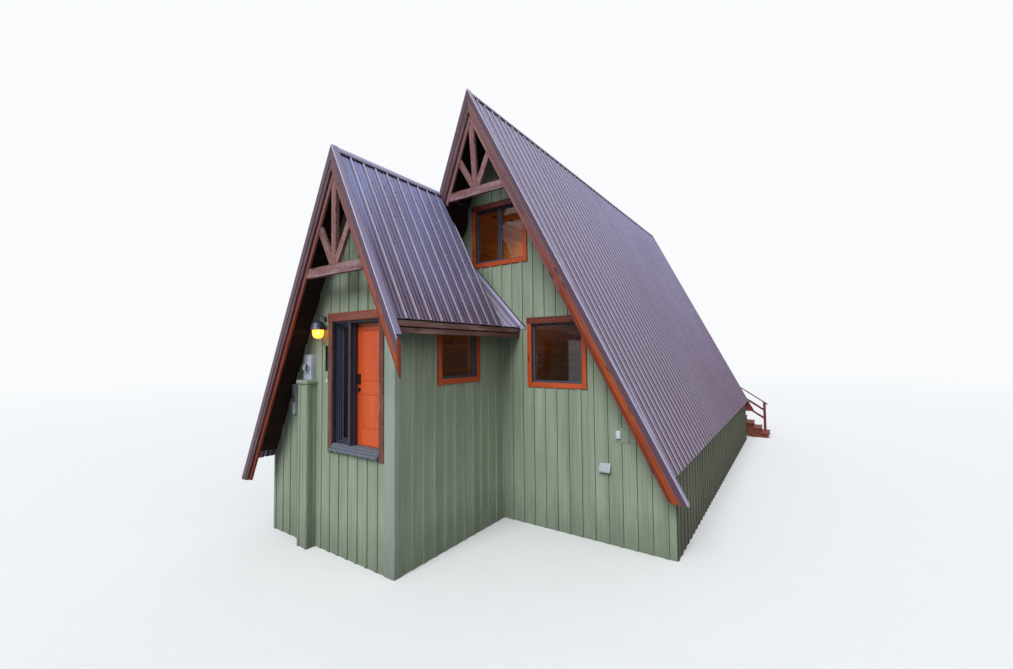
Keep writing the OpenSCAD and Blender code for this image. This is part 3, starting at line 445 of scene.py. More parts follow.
def woodFinish(name, light, dark, knot=(60, 30, 22), worn=None, coords="grain", knots=0.3, contrast=1.0, rough=0.6,
               gloss=0.35, sawn=0.0, wornLow=None, wornHigh=None, wornShare=0.5, tones=(0.86, 1.12)):
    f = Finish(name)
    p = f.coords(coords)
    bands, fibres, patches = f.noise(p, 1.1, 24, 4, 0.62, 0.35), f.noise(p, 7, 190, 3, 0.7), f.noise(p, 0.9, 3.5, 3, 0.55)
    spread = 0.28 / contrast
    colour = f.mix(f.remap(bands, 0.5 - spread, 0.5 + spread), dark, light)
    colour = f.mix(f.remap(fibres, 0.35, 0.75, 0.0, 0.35 * contrast), colour, dark)
    colour = f.mix(f.remap(patches, 0.4, 0.7, 0.0, 0.45), colour, dark)
    height = f.add(f.times(bands, 0.5), f.times(fibres, 0.7))
    if worn:
        mask = f.remap(f.noise(p, 1.6, 11, 5, 0.7), 0.62 - 0.3 * wornShare, 0.72 - 0.2 * wornShare)
        if wornLow is not None:     # worn only above a height, fading in
            lift = f.add(f.height(), f.remap(f.noise(p, 0.7, 4, 3), 0.3, 0.7, -0.7, 0.7))
            mask = f.times(f.remap(lift, wornLow, wornHigh), f.remap(mask, 0.0, 1.0, 0.8, 1.0))
        colour = f.mix(mask, colour, f.mix(f.remap(bands, 0.3, 0.7), shaded(worn, 0.72), worn))
    if sawn:
        marks = f.noise(p, 120, 5, 2, 0.6)
        height = f.add(height, f.times(marks, sawn))
        colour = f.mix(f.remap(marks, 0.5, 0.72, 0.0, 0.5 * sawn), colour, f.mix(0.5, light, (0.75, 0.72, 0.74, 1.0)))
    if knots:
        mask = f.spots(p, 2.1, 7.0, 0.24, knots)
        colour = f.mix(f.remap(mask, 0.0, 1.0, 0.0, 0.9), colour, knot)
        height = f.math("SUBTRACT", height, f.times(mask, 0.4))
    colour = f.toned(colour, *tones) if coords == "grain" else colour
    return f.surface(colour, f.remap(fibres, 0.2, 0.8, rough - 0.08, rough + 0.14), height, 0.55, 0.0016, specular=gloss)


def paintFinish(name, base, light, dark, coords="grain", rough=0.62, streak=1.0, gloss=0.3, splash=True):
    f = Finish(name)
    p = f.coords(coords)
    streaks, clouds, fibres = f.noise(p, 0.5, 34, 4, 0.6), f.noise(p, 0.55, 1.3, 3, 0.5), f.noise(p, 9, 210, 3, 0.7)
    colour = f.mix(f.remap(clouds, 0.35, 0.7), base, light)
    colour = f.mix(f.remap(streaks, 0.46, 0.74, 0.0, 0.5 * streak), colour, dark)
    colour = f.mix(f.remap(f.spots(p, 6, 22, 0.13, 0.16), 0, 1, 0, 0.55), colour, shaded(dark, 0.6))
    if splash:
        low = f.add(f.height(), f.remap(f.noise(p, 3, 9, 4), 0.2, 0.8, -0.25, 0.25))
        colour = f.mix(f.remap(low, 0.0, 0.75, 0.45, 0.0), colour, shaded(dark, 0.8))
    colour = f.toned(colour, 0.93, 1.06) if coords == "grain" else colour
    height = f.add(f.times(streaks, 0.6), fibres)
    return f.surface(colour, f.remap(fibres, 0.2, 0.8, rough - 0.06, rough + 0.12), height, 0.35, 0.0012, specular=gloss)


def metalFinish(name, light, dark, low, paintedShade, paintedHighlight, fade, rough=0.4, streak=0.4):
    # painted sheet: a painted sky reflection makes it paler under the ridge, streaked down; the tone paints shade in
    # the corners and a highlight on the crests
    f = Finish(name)
    p = f.coords("grain")
    down = f.node("SeparateXYZ", {"Vector": p}).outputs["X"]
    runs, clouds = f.noise(p, 0.4, 14, 4, 0.6), f.noise(p, 0.35, 0.8, 3, 0.5)
    spread = f.add(down, f.remap(clouds, 0.3, 0.7, -0.9, 0.9))
    # light is a painted sky reflection under the ridge, fading to low down the slope
    colour = f.mix(f.remap(spread, *fade), light, low)
    colour = f.mix(f.remap(runs, 0.48, 0.75, 0.0, streak), colour, dark)
    tone = f.tone()
    colour = f.mix(f.remap(tone, 0.0, 0.5, 1.0, 0.0), colour, paintedShade)
    colour = f.mix(f.remap(tone, 0.5, 1.0), colour, paintedHighlight)
    height = f.add(f.noise(p, 1.3, 4, 2, 0.4), f.times(clouds, 0.5))
    return f.surface(colour, f.remap(runs, 0.3, 0.7, rough - 0.06, rough + 0.1), height, 0.2, 0.02, metallic=0.1, specular=0.45)


def plainFinish(name, base, second, scale, rough=0.45, metallic=0.0, bump=0.15, gloss=0.5, coords="x", **more):
    # moulded or cast parts: faint mottling, fine tooth, slightly uneven gloss
    f = Finish(name)
    p = f.coords(coords)
    mottle, tooth, wipe = f.noise(p, scale, scale, 3), f.noise(p, 900, 900, 2), f.noise(p, scale * 0.3, scale * 0.3, 3)
    colour = f.mix(f.remap(mottle, 0.35, 0.7), base, second)
    return f.surface(colour, f.remap(wipe, 0.3, 0.7, rough - 0.07, rough + 0.08), f.add(mottle, f.times(tooth, 0.4)),
                     bump, 0.0006, metallic=metallic, specular=gloss, **more)


def glassFinish(name, tint, rough=0.02, **more):
    f = Finish(name)
    p = f.coords("x")
    film = f.noise(p, 3, 3)
    colour = f.mix(f.remap(film, 0.3, 0.7), tint, shaded(tint[:3], 0.94) + (1.0,))
    return f.surface(colour, f.remap(film, 0.3, 0.75, rough, rough + 0.04), f.noise(p, 2.2, 2.2, 1, 0.4), 0.05, 0.01,
                     transmission=1.0, ior=1.45, **more)


metal = {"coords": "grain"}
finishes = {
    "siding": paintFinish("sagePaint", (138, 151, 131), (152, 165, 146), (104, 117, 100), streak=1.2),
    # the walls under the boards are a darker green: painted shade in the grooves between boards and battens
    "sidingShadeBack": paintFinish("sageShadow", (70, 80, 64), (80, 90, 74), (52, 60, 48), coords="z", splash=False),
    "corner": paintFinish("sageCorner", (142, 156, 146), (156, 170, 162), (116, 130, 118), streak=0.9),
    # the skirt walls under the low eaves take a darker copy of the sage paint: painted shade under the eaves
    "skirt": paintFinish("sageSkirtShaded", (78, 80, 64), (90, 92, 76), (54, 56, 44)),
    # the first colour of each is a painted sky reflection; the wing slope's copy paints a bluer reflection near its
    # ridge and more shade lower down
    "roofing": metalFinish("plumRoofing", (128, 124, 160), (84, 66, 90), (94, 72, 92), (60, 46, 70), (210, 198, 220), (0.5, 8.0)),
    "wingRoofing": metalFinish("wingPlumRoofing", (122, 128, 176), (66, 48, 76), (74, 54, 80), (44, 34, 56), (198, 186, 216), (0.2, 2.8)),
    "trims": metalFinish("plumTrim", (128, 128, 166), (96, 80, 106), (114, 104, 136), (84, 56, 66), (190, 188, 218), (-40.0, 60.0)),
    "screws": plainFinish("screwHeads", (36, 32, 44), (28, 25, 34), 40, rough=0.4, metallic=0.4, **metal),
    "rake": woodFinish("rakeBoards", (214, 108, 40), (138, 50, 24), (48, 20, 16), (118, 90, 100), knots=0.7, contrast=1.4,
                       rough=0.5, wornLow=3.4, wornHigh=5.8),
    "rakeInner": woodFinish("innerRakeBoards", (156, 70, 44), (108, 44, 30), (48, 20, 14), (152, 112, 116), knots=0.35, contrast=1.2,
                            wornLow=4.0, wornHigh=6.0),
    "rakeLeft": woodFinish("wingLeftRakeBoards", (112, 80, 84), (78, 52, 60), (44, 28, 34), (128, 100, 108), wornShare=0.4),
    "truss": woodFinish("sawnTimber", (158, 112, 108), (104, 68, 70), (54, 32, 34), (166, 136, 148), wornShare=0.45, sawn=0.8,
                        knots=0.5, rough=0.75, gloss=0.15, contrast=1.3),
    # roof boards and decks seen from below are painted dark: painted shade under the overhangs
    "soffit": woodFinish("roofBoardsPaintedShade", (58, 40, 34), (36, 25, 22), (22, 14, 12), rough=0.75, gloss=0.15, tones=(0.7, 1.2)),
    "soffitCad": woodFinish("deckPaintedShade", (52, 36, 30), (34, 24, 20), (22, 14, 12), coords="y", knots=0.2, rough=0.75, gloss=0.15),
    "pine": woodFinish("pineBoards", (226, 158, 92), (188, 112, 56), (110, 56, 26), knots=0.5, rough=0.42, gloss=0.4, tones=(0.84, 1.08)),
    "floor": woodFinish("floorBoards", (176, 128, 84), (138, 92, 56), (88, 54, 32), coords="y", rough=0.4, gloss=0.45),
    "cedar": woodFinish("cedarCasing", (208, 92, 40), (158, 60, 26), (78, 30, 18), knots=0.4, rough=0.46, gloss=0.45, tones=(0.9, 1.1)),
    "cedarHead": woodFinish("headCasing", (122, 52, 38), (80, 34, 28), (42, 18, 16), (104, 72, 62), wornShare=0.3, rough=0.5),
    "fascia": woodFinish("fasciaBoards", (132, 98, 92), (92, 64, 62), (54, 34, 34), (168, 132, 124), wornShare=0.45, knots=0.2,
                         tones=(0.7, 1.15)),
    "posts": woodFinish("entryPosts", (124, 80, 66), (80, 46, 40), (44, 22, 20), (148, 108, 92), wornShare=0.4, knots=0.35),
    "header": woodFinish("entryHeader", (150, 84, 68), (104, 52, 42), (50, 24, 22), (158, 112, 104), wornShare=0.35, knots=0.45),
    "door": woodFinish("doorWood", (222, 98, 36), (178, 62, 18), (112, 36, 14), knots=0.12, rough=0.38, gloss=0.5, tones=(0.92, 1.08),
                       contrast=0.8),
    "frames": plainFinish("darkFrames", (58, 62, 76), (66, 70, 84), 14, rough=0.42, gloss=0.45),
    "jambs": paintFinish("navyJambs", (40, 44, 62), (50, 54, 74), (28, 30, 42), rough=0.45, splash=False, gloss=0.4),
    "sill": plainFinish("sillStone", (106, 114, 128), (82, 88, 100), 26, rough=0.6, bump=0.4),
    "black": plainFinish("blackMetal", (22, 22, 25), (30, 30, 34), 30, rough=0.32, metallic=0.6, **metal),
    "brass": plainFinish("brassMetal", (176, 132, 66), (150, 108, 50), 40, rough=0.3, metallic=1.0, **metal),
    "lantern": plainFinish("lanternMetal", (70, 74, 92), (52, 54, 68), 30, rough=0.38, metallic=0.5, **metal),
    # the amber glass glows by itself as well as the bulb: a painted glow
    "amber": glassFinish("amberGlass", (1.0, 0.62, 0.2, 1.0), 0.12, glow=0.9, glowColour=(1.0, 0.42, 0.06, 1.0)),
    "bulb": plainFinish("warmBulb", (255, 220, 150), (255, 200, 120), 60, rough=0.4, glow=5.0, glowColour=(1.0, 0.72, 0.32, 1.0)),
    "meter": plainFinish("greyEnamel", (176, 182, 196), (160, 166, 182), 16, rough=0.42, **metal),
    "dial": plainFinish("dialFace", (206, 208, 212), (150, 152, 160), 50, rough=0.5),
    "boxes": plainFinish("greyPlastic", (168, 176, 182), (150, 158, 166), 20, rough=0.5, **metal),
    "white": plainFinish("whiteFitting", (214, 216, 224), (196, 198, 208), 30, rough=0.4, **metal),
    "glass": glassFinish("windowGlass", (0.86, 0.9, 0.92, 1.0)),
    "stain": woodFinish("deckStain", (134, 60, 44), (90, 36, 28), (44, 18, 14), (140, 96, 84), wornShare=0.3),
}
print("finishes made:", len(finishes))

siding = {"pitch": 0.250, "batten": 0.064, "groove": 0.008, "boardOut": 0.008, "battenOut": 0.022}
openings = {     # outer edges of the casings along the wall and in height, and how many panes
    "lower": (0.648, 1.908, 2.675, 4.045, 1), "upper": (-0.742, 0.660, 5.192, 6.558, 2),
    "side": (-1.958, -0.816, 2.817, 4.045, 1), "rearLow": (-1.908, -0.648, 2.675, 4.045, 1),
    "rearDoor": (-0.560, 1.140, 1.760, 4.045, 2),
}


def facing(y, out=-yAxis, right=xAxis):
    return Vector((0, y, 0)), right, zAxis, out


def sideways(x, out=xAxis, right=yAxis, y=0):
    return Vector((x, y, 0)), right, zAxis, out


faces = {        # origin, along the wall, up, out of the wall
    "front": facing(0), "wingFront": facing(-wingLength), "rear": facing(length, yAxis, -xAxis),
    "wingSide": sideways(wingSide), "right": sideways(half), "left": sideways(-half, -xAxis, -yAxis),
}


def minusHoles(x0, x1, z0, z1, holes):
    left = [(x0, x1, z0, z1)]
    for hx0, hx1, hz0, hz1 in holes:
        out = []
        for a, b, c, d in left:
            if b <= hx0 or a >= hx1 or d <= hz0 or c >= hz1:
                out.append((a, b, c, d))
                continue
            if c < hz0:
                out.append((a, b, c, hz0))
            if d > hz1:
                out.append((a, b, hz1, d))
            if a < hx0 - 0.006:
                out.append((a, hx0, max(c, hz0), min(d, hz1)))
            if b > hx1 + 0.006:
                out.append((hx1, b, max(c, hz0), min(d, hz1)))
        left = out
    return left


def reach(shape, i):
    return max(p[i] for p in shape) - min(p[i] for p in shape)


def clad(parts, face, region, holes=(), start=0.0):
    width, batten = siding["pitch"], siding["batten"]
    x0, x1 = (pick(p[0] for p in region) for pick in (min, max))
    top = max(p[1] for p in region)
    k = math.floor((x0 - start) / width)
    while start + k * width < x1:
        a = start + k * width
        for left, right, out, edge in ((a + siding["groove"], a + width - batten + 0.004, siding["boardOut"], 0.0015),
                                       (a + width - batten, a + width, siding["battenOut"], 0.003)):
            for strip in minusHoles(left, right, -0.5, top, holes):
                shape = clipTo(rect(*strip), region)
                if shape and reach(shape, 0) > 0.010 and reach(shape, 1) > 0.02:
                    slab(parts, shape, faces[face], 0.0, out, edge)
        k += 1


def windowHole(key):
    x0, x1, z0, z1 = openings[key][:4]
    return x0 - 0.004, x1 + 0.004, z0 - 0.002, z1 + 0.002


entry = {"roughLeft": -1.5525, "roughRight": -0.2375, "roughTop": 3.914, "postWide": 0.105, "postLap": 0.042, "postOut": 0.042,
         "headerDeep": 0.146, "headerEar": 0.015, "postFoot": 1.690, "sillTop": 1.840, "jamb": 0.035,
         "ledgeHigh": 0.040, "ledgeOut": 0.050}
(roughLeft, roughRight, roughTop, postWide, postLap, postOut, headerDeep, headerEar, postFoot, sillTop, jamb, ledgeHigh,
 ledgeOut) = entry.values()
postLeft, postRight = roughLeft + postLap - postWide, roughRight - postLap
headerTop = roughTop + headerDeep
halfTop = slopeHeight(half, wallTop)
gable = [(-half, 0), (half, 0), (half, halfTop), (0, slopeHeight(0, wallTop)), (-half, halfTop)]
wingOutline = [(-half, 0), (wingSide, 0), (wingSide, wingHeight(wingSide, wallTop)), (wingX, wingHeight(wingX, wallTop)), (-half, halfTop)]

mainBoards = Parts(11)
frontHoles = [windowHole("lower"), windowHole("upper")]
for region in ([(eave, 0), (half, 0), (half, halfTop), (eave, slopeHeight(eave, wallTop))],
               clip(clip(gable, eave, 0, 1, 0), 0, cricketHeight(0, -0.012), -tanC, -1),
               [(0.06, 0), (eave, 0), (eave, 3.76), (0.06, 4.05)]):
    clad(mainBoards, "front", region, frontHoles, 0.03)
mainBoards.build("mainFrontBoards", "siding", "siding")

wingBoards = Parts(12)
clad(wingBoards, "wingFront", wingOutline, [(postLeft - 0.002, 0.2, -1.0, headerTop + 0.002)], -0.085)
clad(wingBoards, "wingFront", rect(postLeft, postRight + postWide, 0.0, 1.730), [], -0.085)
clad(wingBoards, "wingSide", rect(-wingLength, 0.0, 0.0, 4.10), [windowHole("side")], 0.02)
wingBoards.build("wingBoards", "siding", "siding")

cornerBoard = Parts(13)
underWing = [(-1, 0), (0.2, 0), (0.2, wingHeight(0.2, wallTop)), (-1, wingHeight(-1, wallTop))]
slab(cornerBoard, clipTo(rect(postRight + postWide + 0.004, wingSide + 0.006, 0.0, 5.2), underWing), faces["wingFront"], 0.0, 0.024, 0.004)
slab(cornerBoard, rect(-wingLength - 0.018, -wingLength + 0.092, 0.0, 4.30), faces["wingSide"], 0.0, 0.022, 0.004)
cornerBoard.build("cornerBoards", "corner", "siding")

skirtBoards = Parts(14)
skirtTop = slopeHeight(half, pan) - 0.03
clad(skirtBoards, "right", rect(0.02, length, 0.0, skirtTop), [], 0.06)
clad(skirtBoards, "left", rect(-length, wingLength - 0.02, 0.0, skirtTop), [], 0.06)
skirtBoards.build("skirtBoards", "skirt", "siding")

rearBoards = Parts(15)
clad(rearBoards, "rear", gable, [windowHole(key) for key in ("rearLow", "rearDoor", "upper")], 0.04)
rearBoards.build("rearBoards", "siding", "siding")
print("siding: boards and battens on five walls")

planks = {"width": 0.1412, "joint": 0.003, "edge": 0.004, "lining": 0.02}


def plankRun(parts, slope, s0, s1, low, high, first, last, cutAt=0.0):
    # boards side by side down a slope from s0 to s1, between two end planes, cut plumb under the ridge at run cutAt
    top, up, down = slope
    count = max(1, round((s1 - s0) / planks["width"]))
    step = (s1 - s0) / count
    for k in range(count):
        a = s0 + k * step
        section = clip(rect(a, a + step - planks["joint"], -high, -low), cutAt + 0.001, 0, -cosP, -sinP)
        if section:
            bar(parts, section, (top, down, up), yAxis, first, last, planks["edge"])


deckEnd, liningEnd = (half - 0.025) / cosP, (half - wall) / cosP
wingRidgeRun = -wingX / cosP
pocketEnd = wingRidgeRun + 1.06      # where the cricket meets the left slope
rearCut, innerFront, innerRear, innerWing = (crossCut(y) for y in (rearRake - 0.0765, wall, length - wall, wall - wingLength))
prowCut, wingCut, gableCut, pocketCut = prowPlane(0.0765), crossCut(wingFront + 0.0765), crossCut(0.05), prowPlane(0.0005)
boardLow, liningLow = pan + boards, pan + roof
deckLayer, liningLayer = (pan, boardLow), (liningLow - planks["lining"], liningLow)
rightDeck, leftDeck, ceiling, pocket = Parts(21), Parts(22), Parts(23), Parts(27)
for parts, slope, s0, s1, layer, *cuts in (
        (rightDeck, rightSlope, 0, deckEnd, deckLayer, prowCut, rearCut),
        (leftDeck, leftSlope, 0, wingRidgeRun, deckLayer, prowCut, rearCut),
        (leftDeck, leftSlope, wingRidgeRun, deckEnd, deckLayer, gableCut, rearCut),
        (leftDeck, leftSlope, wingRidgeRun, deckEnd, deckLayer, wingCut, gableCut, wingRidgeRun),
        (ceiling, rightSlope, 0, liningEnd, liningLayer, innerFront, innerRear),
        (ceiling, leftSlope, 0, liningEnd, liningLayer, innerFront, innerRear),
        (ceiling, leftSlope, wingRidgeRun, pocketEnd, liningLayer, innerWing, prowPlane(-0.031), wingRidgeRun),
        (ceiling, leftSlope, pocketEnd, liningEnd, liningLayer, innerWing, innerFront),
        (pocket, leftSlope, wingRidgeRun, pocketEnd, liningLayer, pocketCut, gableCut, wingRidgeRun)):
    plankRun(parts, slope, s0, s1, *layer, *cuts)
closing = [(wingX - 0.020, slopeHeight(wingX, liningLow)), (wingX, slopeHeight(wingX, liningLow)),
           (wingX, slopeHeight(wingX, boardLow + 0.001)), (wingX - 0.020, slopeHeight(wingX, boardLow + 0.010))]
bar(pocket, closing, (Vector((0, 0, 0)), xAxis, zAxis), yAxis, pocketCut, gableCut)
rightDeck.build("rightRoofBoards", "soffit", "roof_boards", "right_roof_deck")
leftDeck.build("leftRoofBoards", "soffit", "roof_boards", "left_roof_deck")
ceiling.build("ceilingBoards", "pine", "inside_wood")
# the pocket under the wing's roof gets the dark boards: painted shade
pocket.build("pocketSoffit", "soffit", "roof_boards")
print("roof boards and ceiling laid")

roofing = {"pitch": 0.246, "start": -1.079, "cricketStart": -0.520, "sheet": 0.0016, "screwStep": 0.61, "screwAside": 0.060,
           "screwSize": 0.0095}
# across a rib: distance, height, tone (0.5 plain, less for painted shade in the corners, more for a painted highlight
# on the crest)
majorRib = [(-0.046, 0.0, 0.5), (-0.0275, 0.0, 0.1), (-0.0245, 0.001, 0.0), (-0.0135, 0.0178, 0.2), (-0.0105, 0.0198, 0.9),
            (0.0105, 0.0198, 1.0), (0.0135, 0.0178, 0.8), (0.0245, 0.001, 0.3), (0.0275, 0.0, 0.3), (0.045, 0.0, 0.5)]
minorRib = [(-0.030, 0.0, 0.5), (-0.017, 0.0, 0.34), (-0.0105, 0.0034, 0.6), (0.0105, 0.0034, 0.66), (0.017, 0.0, 0.5)]


def ribPlaces(start, y0, y1):
    k = math.ceil((y0 - start) / roofing["pitch"])
    while start + k * roofing["pitch"] < y1:
        yield start + k * roofing["pitch"]
        k += 1


def ribLine(y0, y1, start):
    line, gap = [(y0, 0.0, 0.5)], roofing["pitch"]
    for y in ribPlaces(start, y0 - gap, y1 + gap):
        for offset, shape in ((0.0, majorRib), (gap / 3, minorRib), (gap * 2 / 3, minorRib)):
            if y + offset - 0.050 > y0 and y + offset + 0.050 < y1:
                line += [(y + offset + a, b, c) for a, b, c in shape]
    return line + [(y1, 0.0, 0.5)]


def roofSheet(name, slope, y0, y1, s0, s1, cuts, *nodes, start=roofing["start"], finish="roofing", highlightLift=0.0):
    # the ribs run down the slope from s0 to s1; cuts: (plane, only where x is above this or None)
    top, up, down = slope
    line = ribLine(y0, y1, start)
    work = bmesh.new()
    shade = work.verts.layers.float.new("tone")
    rows = []
    for s in (s0, s1):
        for lower in (0.0, roofing["sheet"]):
            row = [work.verts.new(top + yAxis * y + up * (h - lower) + down * s) for y, h, c in line]
            for vert, (y, h, tone) in zip(row, line):
                evener = max(0.4, 1.0 - max(0.0, y - 1.0) / 9.0)      # the painted shade and highlight on the ribs fade towards the rear
                vert[shade] = min(1.0, 0.5 + (tone - 0.5) * evener + highlightLift)
            rows.append(row)
    ua, la, ub, lb = rows
    for i in range(len(line) - 1):
        j = i + 1
        for corners in ((ua[i], ua[j], ub[j], ub[i]), (la[i], lb[i], lb[j], la[j]),
                        (ua[i], la[i], la[j], ua[j]), (ub[i], ub[j], lb[j], lb[i])):
            work.faces.new(corners)
    work.faces.new((ua[0], ub[0], lb[0], la[0]))
    work.faces.new((ua[-1], la[-1], lb[-1], ub[-1]))
    for cut, beyond in cuts:
        geometry = list(work.verts) + list(work.edges) + list(work.faces)
        if beyond is not None:
            bmesh.ops.bisect_plane(work, geom=geometry, plane_co=(beyond, 0, 0), plane_no=(1, 0, 0), dist=1e-6)
            picked = [f for f in work.faces if f.calc_center_median().x > beyond]
            geometry = bmesh.ops.split(work, geom=picked)["geom"]      # or the cut takes the faces beside it too
        bmesh.ops.bisect_plane(work, geom=geometry, plane_co=cut[0], plane_no=cut[1], dist=1e-6, clear_outer=True)
    for vert in list(work.verts):
        if not vert.link_faces:
            work.verts.remove(vert)
    bmesh.ops.remove_doubles(work, verts=work.verts, dist=1e-6)
    bmesh.ops.recalc_face_normals(work, faces=work.faces)
    mesh = bpy.data.meshes.new(name)
    work.to_mesh(mesh)
    work.free()
    addGrain(mesh, [((v.co - top).dot(down), v.co.y, (v.co - top).dot(up)) for v in mesh.vertices])
    mesh.transform(Matrix.Translation(-shift))
    mesh.materials.append(finishes[finish])
    addPiece(name, mesh, nodes)


def flipped(cut):
    return cut[0], -cut[1]


eaveRun, wingRun = (half + eaveOver) / cosP, (eave - wingX) / cosP
prowSide = flipped(prowPlane(0.001))
roofSheet("rightRoofing", rightSlope, -1.3, rearRake, 0.006, eaveRun, [(prowSide, None)], "right_roofing")
roofSheet("leftRoofing", leftSlope, wingFront, rearRake, 0.006, eaveRun, [(prowSide, wingX)], "left_roofing")
roofSheet("wingRoofing", wingSlope, wingFront, 0.05, 0.004, wingRun, [(prowPlane(-0.001), None)], "wing_roofing", finish="wingRoofing")
# the cricket's tones are lifted towards the painted highlight: painted reflection on the flatter slope
roofSheet("cricketRoofing", cricketSlope, -1.3, -0.001, 0.0, (eave + 1.25) / cosC, [(prowSide, None), (under(leftSlope, 0.004), None)],
          start=roofing["cricketStart"], highlightLift=0.16)
# round the flashing: height, distance back from the wall, tone (low tones paint shade at the edges and under the hem,
# high tones a painted highlight on the sheet and folds)
flashing = {"up": 0.070, "down": 0.110}
lift, lap = flashing["up"], -flashing["down"]
flashLine = [(0.0225, lap, 0.0), (0.0241, lap, 0.2), (0.0241, lap + 0.012, 0.8), (0.0241, -0.032, 0.85), (0.0262, -0.0290, 1.0),
             (lift, -0.0262, 0.9), (lift + 0.004, -0.030, 1.0), (lift + 0.005, -0.0285, 0.2), (lift, -0.0246, 0.1), (0.0245, -0.0274, 0.1)]
wallFlashing, flashingShadowParts = Parts(28), Parts(29)
top, up, down = cricketSlope
foldedBar(wallFlashing, flashLine, (top, up, yAxis), down, under(leftSlope, 0.190), plane((eave + 0.004, 0, 0), xAxis))
lift += 0.002
tail = [(eave - 0.010, wingEaveHeight - 0.020), (eave + 0.118, wingEaveHeight - 0.034), (eave + 0.112, wingEaveHeight - 0.004),
        (eave - 0.010, cricketHeight(eave - 0.010, -lift))]
# the tail's tone gives it a painted highlight
slab(wallFlashing, tail, faces["front"], 0.0268, 0.0290, 0.0, tone=0.8)
wallFlashing.build("wallFlashing", "trims", "roofing")
# a dark strip along the flashing's top edge on the wall: painted shadow
flashingShadowOutline = [(-0.62, cricketHeight(-0.62, -0.03)), (eave, cricketHeight(eave, -0.03)), (eave + 0.126, wingEaveHeight - 0.038),
        (eave + 0.124, wingEaveHeight + 0.016), (eave, cricketHeight(eave, -lift - 0.022)), (-0.62, cricketHeight(-0.62, -lift - 0.018))]
slab(flashingShadowParts, flashingShadowOutline, faces["front"], 0.0221, 0.0243, 0.0)
flashingShadowParts.build("flashingShadowStrip", "screws", "roofing")
print("ribbed roofing: four slopes")

screws = Parts(24)


def screwRows(slope, y0, y1, last, keep):
    top, up, down = slope
    rows = [last - 0.17]
    while rows[-1] - roofing["screwStep"] > 0.3:
        rows.append(rows[-1] - roofing["screwStep"])
    for y in ribPlaces(roofing["start"], y0, y1):
        for s in rows:
            spot = top + yAxis * (y + roofing["screwAside"]) + down * s
            if keep(spot):
                screw(screws, spot, up, roofing["screwSize"])


def behindProw(spot, margin):
    origin, normal = prowPlane(margin)
    return (spot - origin).dot(normal) > 0


screwRows(rightSlope, -1.2, rearRake - 0.12, eaveRun, lambda p: behindProw(p, 0.13))
screwRows(leftSlope, wingFront + 0.12, rearRake - 0.12, eaveRun, lambda p: behindProw(p, 0.13) or p.x < wingX - 0.15)
screwRows(wingSlope, wingFront + 0.13, 0.0, wingRun, lambda p: not behindProw(p, -0.05))
screws.build("roofScrews", "screws", "roofing")

# ridge caps, with a lap every few metres
caps = {"arm": 0.064, "thick": 0.0058, "over": 0.0202, "piece": 3.05, "lift": 0.0012, "crown": 0.022, "wingCrown": 0.053}
# cap tones: a painted highlight on the crown and painted shade at the edges
capTones = [0.0, 0.35, 0.95, 0.95, 0.35, 0.0, 0.2, 0.2]


def capProfile(lift, crown):
    # crown: how high over the line where the slopes meet the fold is pressed flat
    low, high, arm = caps["over"] + lift, caps["over"] + caps["thick"] + lift, caps["arm"]
    right = [Vector((arm * cosP + h * sinP, -arm * sinP + h * cosP)) for h in (low - 0.004, high)]
    right.append(Vector(((high - crown * cosP) / sinP, crown)))
    inner = min(crown - caps["thick"], low / cosP - 0.002)
    inside = Vector(((low - inner * cosP) / sinP, inner))
    return right + [Vector((-p.x, p.y)) for p in reversed(right)] + [Vector((-inside.x, inside.y)), inside]


# closures under the caps reach past their edges as dark strips: closures and a painted shadow below the caps
ridgeCaps, closuresAndShadows = Parts(25), Parts(26)
# the last column scales the caps' tones, with their painted shade and highlight; the main ridge's is lower
for top, first, last, y, crown, worn in (
        (ridgeTop, prowPlane(0.115), crossCut(rearRake - 0.115), prowPlane(0.115)[0].y - 0.8, caps["crown"], 0.6),
        (wingTop, crossCut(wingFront + 0.115), prowPlane(-0.006), wingFront + 0.115, caps["wingCrown"], 1.0)):
    starts = [first]
    while y + caps["piece"] < last[0].y - 0.8:
        y += caps["piece"]
        starts.append(crossCut(y))
    for k, begin in enumerate(starts):
        end = last if k + 1 == len(starts) else crossCut(starts[k + 1][0].y + 0.09)
        bar(ridgeCaps, capProfile(caps["lift"] * (k % 2), crown), (top, xAxis, zAxis), yAxis, begin, end, 0.0, [worn * t for t in capTones])
    for slope in (rightSlope, leftSlope):
        bar(closuresAndShadows, rect(caps["arm"] - 0.012, caps["arm"] + 0.026, -0.001, 0.0135), (top, slope[2], slope[1]), yAxis, first, last, 0.0)
ridgeCaps.build("ridgeCaps", "trims", "roofing", "ridge_caps")
closuresAndShadows.build("ridgeClosuresAndShadows", "screws", "roofing")


def rakeFrame(slope, rake):
    # (height above the roofing, distance out from the rake plane) places every board and trim
    along = slope[1].cross(rake[1]).normalized()
    along = along if along.z > 0 else -along
    a, b = rake[1].cross(along), along.cross(slope[1])
    return meet(slope, rake, plane((0, 0, 0), along)), a / a.dot(slope[1]), b / b.dot(rake[1]), along


